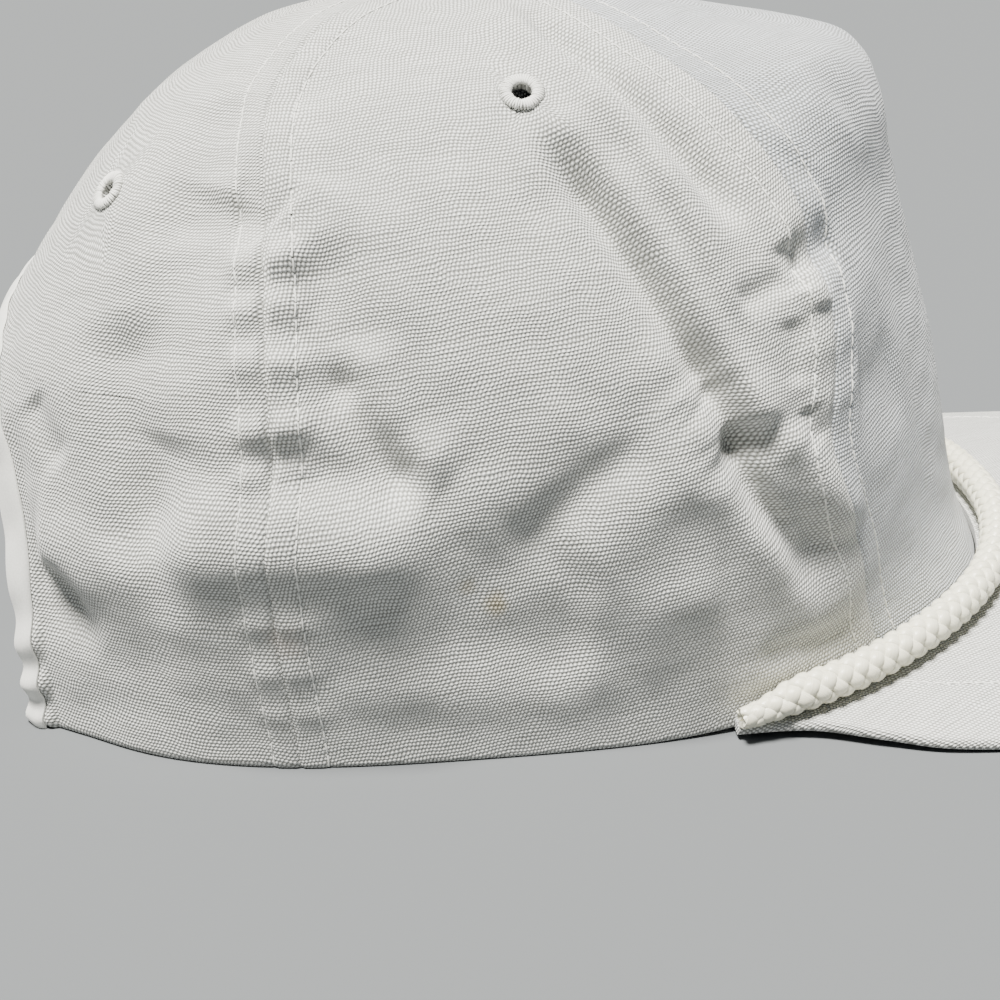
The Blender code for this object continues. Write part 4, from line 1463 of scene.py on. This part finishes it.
@dataclass
class Brim:
    """The flat brim, with a rounded edge and one stitch row."""

    form: CrownForm
    cloth: bpy.types.Material
    stitcher: Stitcher
    start: float = 36.0
    gap: float = 0.1
    thickness: float = 2.2
    columns: int = 360
    rows: int = 60
    grain_turn: float = -61.0
    stitch_inset: float = 15.0
    stitch_clear: float = 8.5
    stitch_lift: float = 0.08
    arc_steps: int = 8
    ripple: Ripple = Ripple(0.10, (14.0, 30.0), 12, 21)
    outline: np.ndarray = field(default_factory=lambda: np.array([
        (36.0, 79.4), (50.0, 81.0), (62.0, 86.0), (75.0, 90.0), (100.0, 91.5), (125.0, 90.0),
        (143.0, 82.0), (156.0, 67.0), (165.0, 45.0), (170.0, 22.0), (171.0, 0.0),
    ]))

    def joint(self, count: int, out: float) -> tuple[np.ndarray, np.ndarray]:
        """Line along the join of brim and crown, pushed outward in plan.

        Args:
            count: Number of points.
            out: Push in mm.

        Returns:
            Distances ahead and to the right.
        """
        angles = np.linspace(20.0, 89.0, 400)
        ahead, _ = self.form.plan(angles)
        end = float(np.interp(-self.start, -ahead, angles))
        angle = np.linspace(-end, end, count)
        ahead, side = self.form.plan(angle)
        more = self.form.plan(angle + 0.05)
        less = self.form.plan(angle - 0.05)
        run = np.stack([more[0] - less[0], more[1] - less[1]], -1)
        run = run / np.linalg.norm(run, axis=-1, keepdims=True)
        return ahead + out * run[..., 1], side - out * run[..., 0]

    def edge(self, count: int) -> tuple[np.ndarray, np.ndarray]:
        """Outer edge of the brim, as distances ahead and to the right."""
        key = np.arange(len(self.outline), dtype=float)
        rows = np.column_stack([key, self.outline])
        share = np.linspace(-1.0, 1.0, count)
        place = (1 - np.abs(share) ** 1.15) * key[-1]
        return curve_value(place, rows, 1), np.sign(share) * curve_value(place, rows, 2)

    def build(self) -> None:
        """Build the brim as one closed padded sheet with a rounded edge."""
        inner = self.joint(self.columns + 1, self.gap)
        outer = self.edge(self.columns + 1)
        radius = self.thickness / 2
        k = np.linspace(0.0, 1.0, self.rows + 1)
        arc = np.linspace(math.pi / 2, -math.pi / 2, self.arc_steps + 1)[1:-1]
        share = np.concatenate([k, np.ones(len(arc)), k[::-1]])
        level = np.concatenate([np.ones(len(k)), np.sin(arc), -np.ones(len(k))])
        bulge = np.concatenate([np.zeros(len(k)), np.cos(arc), np.zeros(len(k))])
        start = np.stack(inner, -1)
        end = np.stack(outer, -1)
        run = end - start
        length = np.maximum(np.linalg.norm(run, axis=-1, keepdims=True), 0.2)
        unit = run / length
        pull = np.minimum(radius, length * 0.5)
        tip = end - unit * pull
        flat = start[None] * (1 - share[:, None, None]) + tip[None] * share[:, None, None]
        flat = flat + unit[None] * pull[None] * bulge[:, None, None]
        low = self.form.brim_height(flat[..., 0], flat[..., 1])
        z = low + radius + radius * level[:, None]
        points = np.stack([-flat[..., 1], -flat[..., 0], z], -1)
        points[..., 2] += self.ripple.at(points)
        ring, columns = points.shape[0], points.shape[1]
        index = np.arange(ring * columns).reshape(ring, columns)
        after = np.roll(index, -1, axis=0)
        fours = np.stack([index[:, :-1], index[:, 1:], after[:, 1:], after[:, :-1]], -1).reshape(-1, 4)
        caps = []
        for column, flip in ((0, False), (columns - 1, True)):
            loop = index[:, column]
            half = ring // 2
            for n in range(half - 1):
                quad = (loop[n], loop[n + 1], loop[ring - 2 - n], loop[ring - 1 - n])
                caps.append(quad[::-1] if flip else quad)
        fours = np.concatenate([fours, np.array(caps)])
        turn = math.radians(self.grain_turn)
        spin = np.array([(math.cos(turn), math.sin(turn)), (-math.sin(turn), math.cos(turn))])
        outward = np.stack([-unit[..., 1], -unit[..., 0]], -1)
        carried = points[..., :2] + outward[None] * (radius * (1 - level))[:, None, None]
        uv = (carried @ spin.T).reshape(-1, 2)
        item = write_mesh("brim_cloth", points.reshape(-1, 3), MeshParts(fours, np.zeros((0, 5), int)), uv)
        hand_over(item, "brim", self.cloth)
        self.build_stitches()

    def build_stitches(self) -> None:
        """Lay one stitch row along the outer edge, as far as the rope."""
        ahead, side = self.edge(self.columns + 1)
        run = np.stack([np.gradient(ahead), np.gradient(side)], -1)
        run /= np.linalg.norm(run, axis=-1, keepdims=True)
        ahead = ahead - self.stitch_inset * run[:, 1]
        side = side + self.stitch_inset * run[:, 0]
        join = self.joint(self.columns, 0.0)
        bearing = np.arctan2(join[1], join[0])
        order = np.argsort(bearing)
        reach = np.interp(np.arctan2(side, ahead), bearing[order], np.hypot(*join)[order])
        keep = np.hypot(ahead, side) > reach + self.stitch_clear
        ahead, side = ahead[keep], side[keep]
        height = self.form.brim_height(ahead, side)
        slope_ahead = self.form.brim_height(ahead + 0.5, side) - self.form.brim_height(ahead - 0.5, side)
        slope_side = self.form.brim_height(ahead, side + 0.5) - self.form.brim_height(ahead, side - 0.5)
        out = np.stack([slope_side, slope_ahead, np.ones(len(ahead))], -1)
        out /= np.linalg.norm(out, axis=-1, keepdims=True)
        line = np.stack([-side, -ahead, height + self.thickness], -1)
        line[:, 2] += self.ripple.at(line) + self.stitch_lift
        self.stitcher.sew("brim_stitches", [line], [out])


@dataclass
class Rope:
    """The plaited cord along the join of brim and crown."""

    form: CrownForm
    brim: Brim
    cord: bpy.types.Material
    radius: float = 3.6
    lay_radius: float = 2.4
    strand_radius: float = 1.45
    flatten: float = 0.56
    over_and_under: float = 0.42
    turn_length: float = 14.4
    seat: float = 0.3
    taper: float = 0.05
    strands_each_way: int = 4
    points: int = 400

    def build(self) -> None:
        """Plait the strands of the cord."""
        ahead, side = self.brim.joint(self.points, self.seat + self.radius)
        share = np.linspace(0.0, 1.0, self.points)
        ends = np.minimum(share, 1 - share) / self.taper
        thick = 0.5 + 0.5 * ease(ends, 0.0, 1.0)
        height = self.form.brim_height(ahead, side) + self.brim.thickness + self.seat + self.radius * thick
        line = np.stack([-side, -ahead, height], -1)
        run = np.gradient(line, axis=0)
        run /= np.linalg.norm(run, axis=-1, keepdims=True)
        up = np.array([0.0, 0.0, 1.0]) - run * run[:, 2:]
        up /= np.linalg.norm(up, axis=-1, keepdims=True)
        aside = np.cross(run, up)
        tree = braid_tree()
        for word, direction in (("right_laid", 1.0), ("left_laid", -1.0)):
            item = path_object("rope_strands_" + word, [line], {"outward": [up], "aside": [aside]},
                               {"thick": [thick]})
            grown(item, tree, {
                "Strands": self.strands_each_way, "Turn Length": self.turn_length * MM,
                "Lay Radius": self.lay_radius * MM,
                "Over And Under": self.over_and_under * MM, "Strand Radius": self.strand_radius * MM,
                "Direction": direction, "Flatten": self.flatten, "Material": self.cord,
            })
            hand_over(item, "rope" if direction > 0 else None)


@dataclass
class Studio:
    """Matt grey floor, soft light and the camera, with places in mm.

    The sun's place is the direction that it comes from. It stands nearly
    overhead, so that the folds of the cloth cast soft shades.
    """

    target: tuple[float, float, float] = (0.0, 35.64, 19.8)
    distance: float = 367.0
    turn: float = 3.5
    elevation: float = 21.2
    roll: float = -2.5
    lens: float = 59.04
    sensor: float = 36.0
    floor_reach: float = 40.0
    floor_code: str = "5E6163"
    floor_roughness: float = 0.9
    sky_code: str = "CCD4DE"
    sky_strength: float = 0.17
    sun_place: tuple[float, float, float] = (-78.0, 85.0, 480.0)
    sun_strength: float = 16.0
    sun_spread: float = 18.0
    sun_code: str = "FFFCF6"
    fill_place: tuple[float, float, float] = (-260.0, -620.0, 420.0)
    fill_aim: tuple[float, float, float] = (0.0, 20.0, 60.0)
    fill_size: float = 420.0
    fill_watts: float = 0.35
    fill_code: str = "D6E2FF"

    def build(self) -> None:
        """Build the floor, the lights and the camera."""
        self.floor()
        world = bpy.data.worlds.new("studio")
        bpy.context.scene.world = world
        world.use_nodes = True
        sky = world.node_tree.nodes["Background"]
        sky.inputs[0].default_value = linear(self.sky_code)
        sky.inputs[1].default_value = self.sky_strength
        sun = self.light("key", "SUN", self.sun_strength, self.sun_code, -np.array(self.sun_place))
        sun.data.angle = math.radians(self.sun_spread)
        aim = (np.array(self.fill_aim) - np.array(self.fill_place)) * MM
        fill = self.light("front_fill", "AREA", self.fill_watts, self.fill_code, aim)
        fill.data.size = self.fill_size * MM
        fill.location = np.array(self.fill_place) * MM
        self.camera()

    def floor(self) -> None:
        """Lay the floor as one large plane."""
        mesh = bpy.data.meshes.new("floor")
        r = self.floor_reach
        mesh.from_pydata([(-r, -r, 0.0), (r, -r, 0.0), (r, r, 0.0), (-r, r, 0.0)], [], [(0, 1, 2, 3)])
        item = bpy.data.objects.new("floor", mesh)
        bpy.context.scene.collection.objects.link(item)
        paint, _, _ = new_material("matt_grey_paint", {
            "Base Color": linear(self.floor_code), "Roughness": self.floor_roughness,
        })
        mesh.materials.append(paint)

    def light(self, name: str, kind: str, power: float, code: str, aim: np.ndarray) -> bpy.types.Object:
        """Add a light.

        Args:
            name: Object name.
            kind: SUN or AREA.
            power: Strength of a sun or watts of an area light.
            code: Colour.
            aim: Direction that it shines in.

        Returns:
            The light's object, at the origin.
        """
        light = bpy.data.lights.new(name, kind)
        light.energy = power
        light.color = linear(code)[:3]
        item = bpy.data.objects.new(name, light)
        bpy.context.scene.collection.objects.link(item)
        item.rotation_mode = "QUATERNION"
        item.rotation_quaternion = Vector(aim).to_track_quat("-Z", "Y")
        return item

    def camera(self) -> None:
        """Add the camera at the photo's angle."""
        d, e, roll = math.radians(self.turn), math.radians(self.elevation), math.radians(self.roll)
        back = np.array((-math.cos(d) * math.cos(e), math.sin(d) * math.cos(e), math.sin(e)))
        right = np.array((-math.sin(d), -math.cos(d), 0.0))
        up = np.cross(back, right)
        if up[2] < 0:
            up = -up
        x = math.cos(roll) * right + math.sin(roll) * up
        y = -math.sin(roll) * right + math.cos(roll) * up
        data = bpy.data.cameras.new("camera")
        data.lens = self.lens
        data.sensor_width = self.sensor
        data.clip_start = 0.01
        item = bpy.data.objects.new("camera", data)
        bpy.context.scene.collection.objects.link(item)
        spot = (np.array(self.target) + self.distance * back) * MM
        matrix = np.eye(4)
        matrix[:3, 0], matrix[:3, 1], matrix[:3, 2], matrix[:3, 3] = x, y, back, spot
        item.matrix_world = Matrix([list(row) for row in matrix])
        bpy.context.scene.camera = item


@dataclass
class OpeningBinding:
    """The smooth tape along the edge of the arched back opening."""

    form: CrownForm
    tape: bpy.types.Material
    reach: tuple[float, float] = (-0.03, 0.15)
    lift: float = 0.15
    thickness: float = 1.0
    columns: int = 420
    rows: int = 16
    ripple: Ripple = Ripple(0.06, (5.0, 14.0), 12, 31)

    def build(self) -> None:
        """Build the tape as one closed strip with soft edges."""
        power = 2 / self.form.opening_squareness
        steps = np.linspace(0.0, math.pi, self.columns + 1)
        across = np.sign(np.cos(steps)) * np.abs(np.cos(steps)) ** power
        share = np.linspace(0.0, 1.0, self.rows + 1)[:, None]
        grow = 1 + self.reach[0] + (self.reach[1] - self.reach[0]) * share
        angle = 180.0 - self.form.opening_half_angle * grow * across
        climb = np.clip(self.form.opening_climb * grow * np.sin(steps) ** power, 0.001, 1.0)
        base = self.form.surface(angle, climb)
        out = self.form.normal(self.form.smooth, angle, climb)
        crest = 1 - np.abs(2 * share - 1) ** 4
        ripple = self.ripple.height + self.ripple.at(base)
        rise = self.lift + self.thickness * (0.25 + 0.75 * crest) + ripple
        high = base + out * rise[..., None]
        low = base + out * self.lift
        item = closed_sheet("opening_binding_tape", high, low, np.stack([angle, climb * CLIMB_LENGTH], -1))
        hand_over(item, "opening_binding", self.tape)


@dataclass
class Strap:
    """The plain band across the foot of the back opening."""

    form: CrownForm
    cloth: bpy.types.Material
    width: float = 19.0
    lift: float = 3.0
    inset: float = 2.2
    thickness: float = 1.4
    reach: float = 35.0
    columns: int = 180
    rows: int = 40

    def build(self) -> None:
        """Build the band as one closed sheet."""
        turn = np.linspace(180.0 - self.reach, 180.0 + self.reach, self.columns + 1)
        angle = np.repeat(turn[None], self.rows + 1, axis=0)
        height = self.lift + self.width * even_shares(self.rows, self.width)[:, None]
        climb = np.repeat(height / self.form.height, angle.shape[1], axis=1)
        base = self.form.folded(angle, climb)
        out = self.form.normal(self.form.smooth, angle, climb)
        high = base - out * self.inset
        low = base - out * (self.inset + self.thickness)
        high[..., 2] = height
        low[..., 2] = height
        middle = high[self.rows // 2]
        run = np.cumsum(np.linalg.norm(np.diff(middle, axis=0, prepend=middle[:1]), axis=1))
        place = np.stack(np.broadcast_arrays(run[None], height), -1)
        hand_over(closed_sheet("back_strap_cloth", high, low, place), "back_strap", self.cloth)


@dataclass
class TopButton:
    """The cloth covered button on the top of the crown."""

    form: CrownForm
    cloth: bpy.types.Material
    radius: float = 7.0
    height: float = 4.4
    seat: float = -0.1
    stem_radius: float = 1.0
    stem_drop: float = 0.3
    roundness: float = 0.7
    pleats: int = 12
    pleat_depth: float = 0.012
    rings: int = 40
    count: int = 96

    def build(self) -> None:
        """Build the button as one closed solid of revolution with soft pleats."""
        low = self.form.height + self.seat
        turns = np.linspace(0.0, math.pi / 2, self.rings)[:-1]
        radii = np.concatenate([[self.stem_radius], self.radius * np.cos(turns) ** self.roundness])
        levels = np.concatenate([[self.form.height + self.stem_drop], low + self.height * np.sin(turns)])
        spin = np.linspace(0.0, 2 * math.pi, self.count, endpoint=False)
        share = np.clip(radii / self.radius, 0, 1)[:, None] ** 3
        pleat = 1 + self.pleat_depth * np.cos(spin * self.pleats) * share
        x = radii[:, None] * np.cos(spin) * pleat
        y = radii[:, None] * np.sin(spin) * pleat - self.form.axis
        z = np.repeat(levels[:, None], self.count, axis=1)
        points = np.concatenate([np.stack([x, y, z], -1).reshape(-1, 3),
                                 [(0.0, -self.form.axis, low + self.height)],
                                 [(0.0, -self.form.axis, self.form.height + self.stem_drop)]])
        index = np.arange(len(radii) * self.count).reshape(len(radii), self.count)
        after = np.roll(index, -1, axis=1)
        fours = np.stack([index[:-1], after[:-1], after[1:], index[1:]], -1).reshape(-1, 4)
        top = np.full(self.count, len(points) - 2)
        foot = np.full(self.count, len(points) - 1)
        threes = np.concatenate([np.stack([index[-1], after[-1], top], -1),
                                 np.stack([after[0], index[0], foot], -1)])
        item = write_mesh("top_button_cloth", points, MeshParts(fours, threes), points[:, :2])
        hand_over(item, "top_button", self.cloth)


@dataclass
class Eyelet:
    """A vent hole's edge, wrapped in thread."""

    node: str
    angle: float
    climb: float
    form: CrownForm
    thread: bpy.types.Material
    tree: bpy.types.NodeTree
    ring_radius: float = 2.9
    lift: float = 0.12
    half_width: float = 0.9
    half_height: float = 0.5
    thread_radius: float = 0.22
    wraps: int = 46
    seed: int = 5

    def build(self) -> None:
        """Wrap the ring."""
        centre = self.form.surface(np.array([self.angle]), np.array([self.climb]))[0]
        out = self.form.normal(self.form.folded, np.array([self.angle]), np.array([self.climb]))[0]
        side = np.cross([0.0, 0.0, 1.0], out)
        side /= np.linalg.norm(side)
        up = np.cross(out, side)
        spin = np.linspace(0.0, 2 * math.pi, 73)[:, None]
        line = centre + out * self.lift + self.ring_radius * (np.cos(spin) * side + np.sin(spin) * up)
        facing = np.repeat(out[None], len(line), axis=0)
        item = path_object(self.node + "_wraps", [line], {"outward": [facing]})
        grown(item, self.tree, {
            "Wraps": self.wraps, "Half Width": self.half_width * MM, "Half Height": self.half_height * MM,
            "Thread Radius": self.thread_radius * MM, "Seed": self.seed, "Material": self.thread,
        })
        hand_over(item, self.node)


STAINS = (
    Stain(90.1, 0.234, 3.2, "E9D9B4", 0.75), Stain(91.0, 0.262, 2.2, "EADFC4", 0.5),
    Stain(105.0, 0.206, 5.0, "F0DCD0", 0.45),
)
FIRST_SEED = 5


def main() -> None:
    """Dress the hat and build the studio."""
    canvas = CottonCanvas("cotton_canvas", stains=STAINS).build()
    # Copy of the white canvas painted a cooler, darker grey: painted shade on the front panel.
    front_canvas_painted_shade = CottonCanvas("cotton_canvas_front_painted_shade", thread_code="E2E6EA", tint_code="D6DCE2").build()
    brim_canvas = CottonCanvas("cotton_canvas_brim", row_pitch=0.66).build()
    thread = SpunThread("sewing_thread").build()
    cord = SatinCord("polypropylene_cord").build()
    tape = SpunThread("cotton_tape", ply=0.4, depth=0.04, roughness=0.75).build()
    stitcher = Stitcher(thread, stitch_tree())
    Crown(CROWN, canvas, front_canvas_painted_shade, stitcher).build()
    brim = Brim(CROWN, brim_canvas, stitcher)
    brim.build()
    Rope(CROWN, brim, cord).build()
    OpeningBinding(CROWN, tape).build()
    Strap(CROWN, canvas).build()
    TopButton(CROWN, canvas).build()
    wraps = eyelet_tree()
    vents = [(f"eyelet_{word}_{side.name.lower()}", vent.on(side))
             for word, vent in (("side", SIDE_VENT), ("back", BACK_VENT)) for side in Side]
    for seed, (node, (angle, climb)) in enumerate(vents, start=FIRST_SEED):
        Eyelet(node, angle, climb, CROWN, thread, wraps, seed=seed).build()
    Studio().build()


if __name__ == "__main__":
    main()
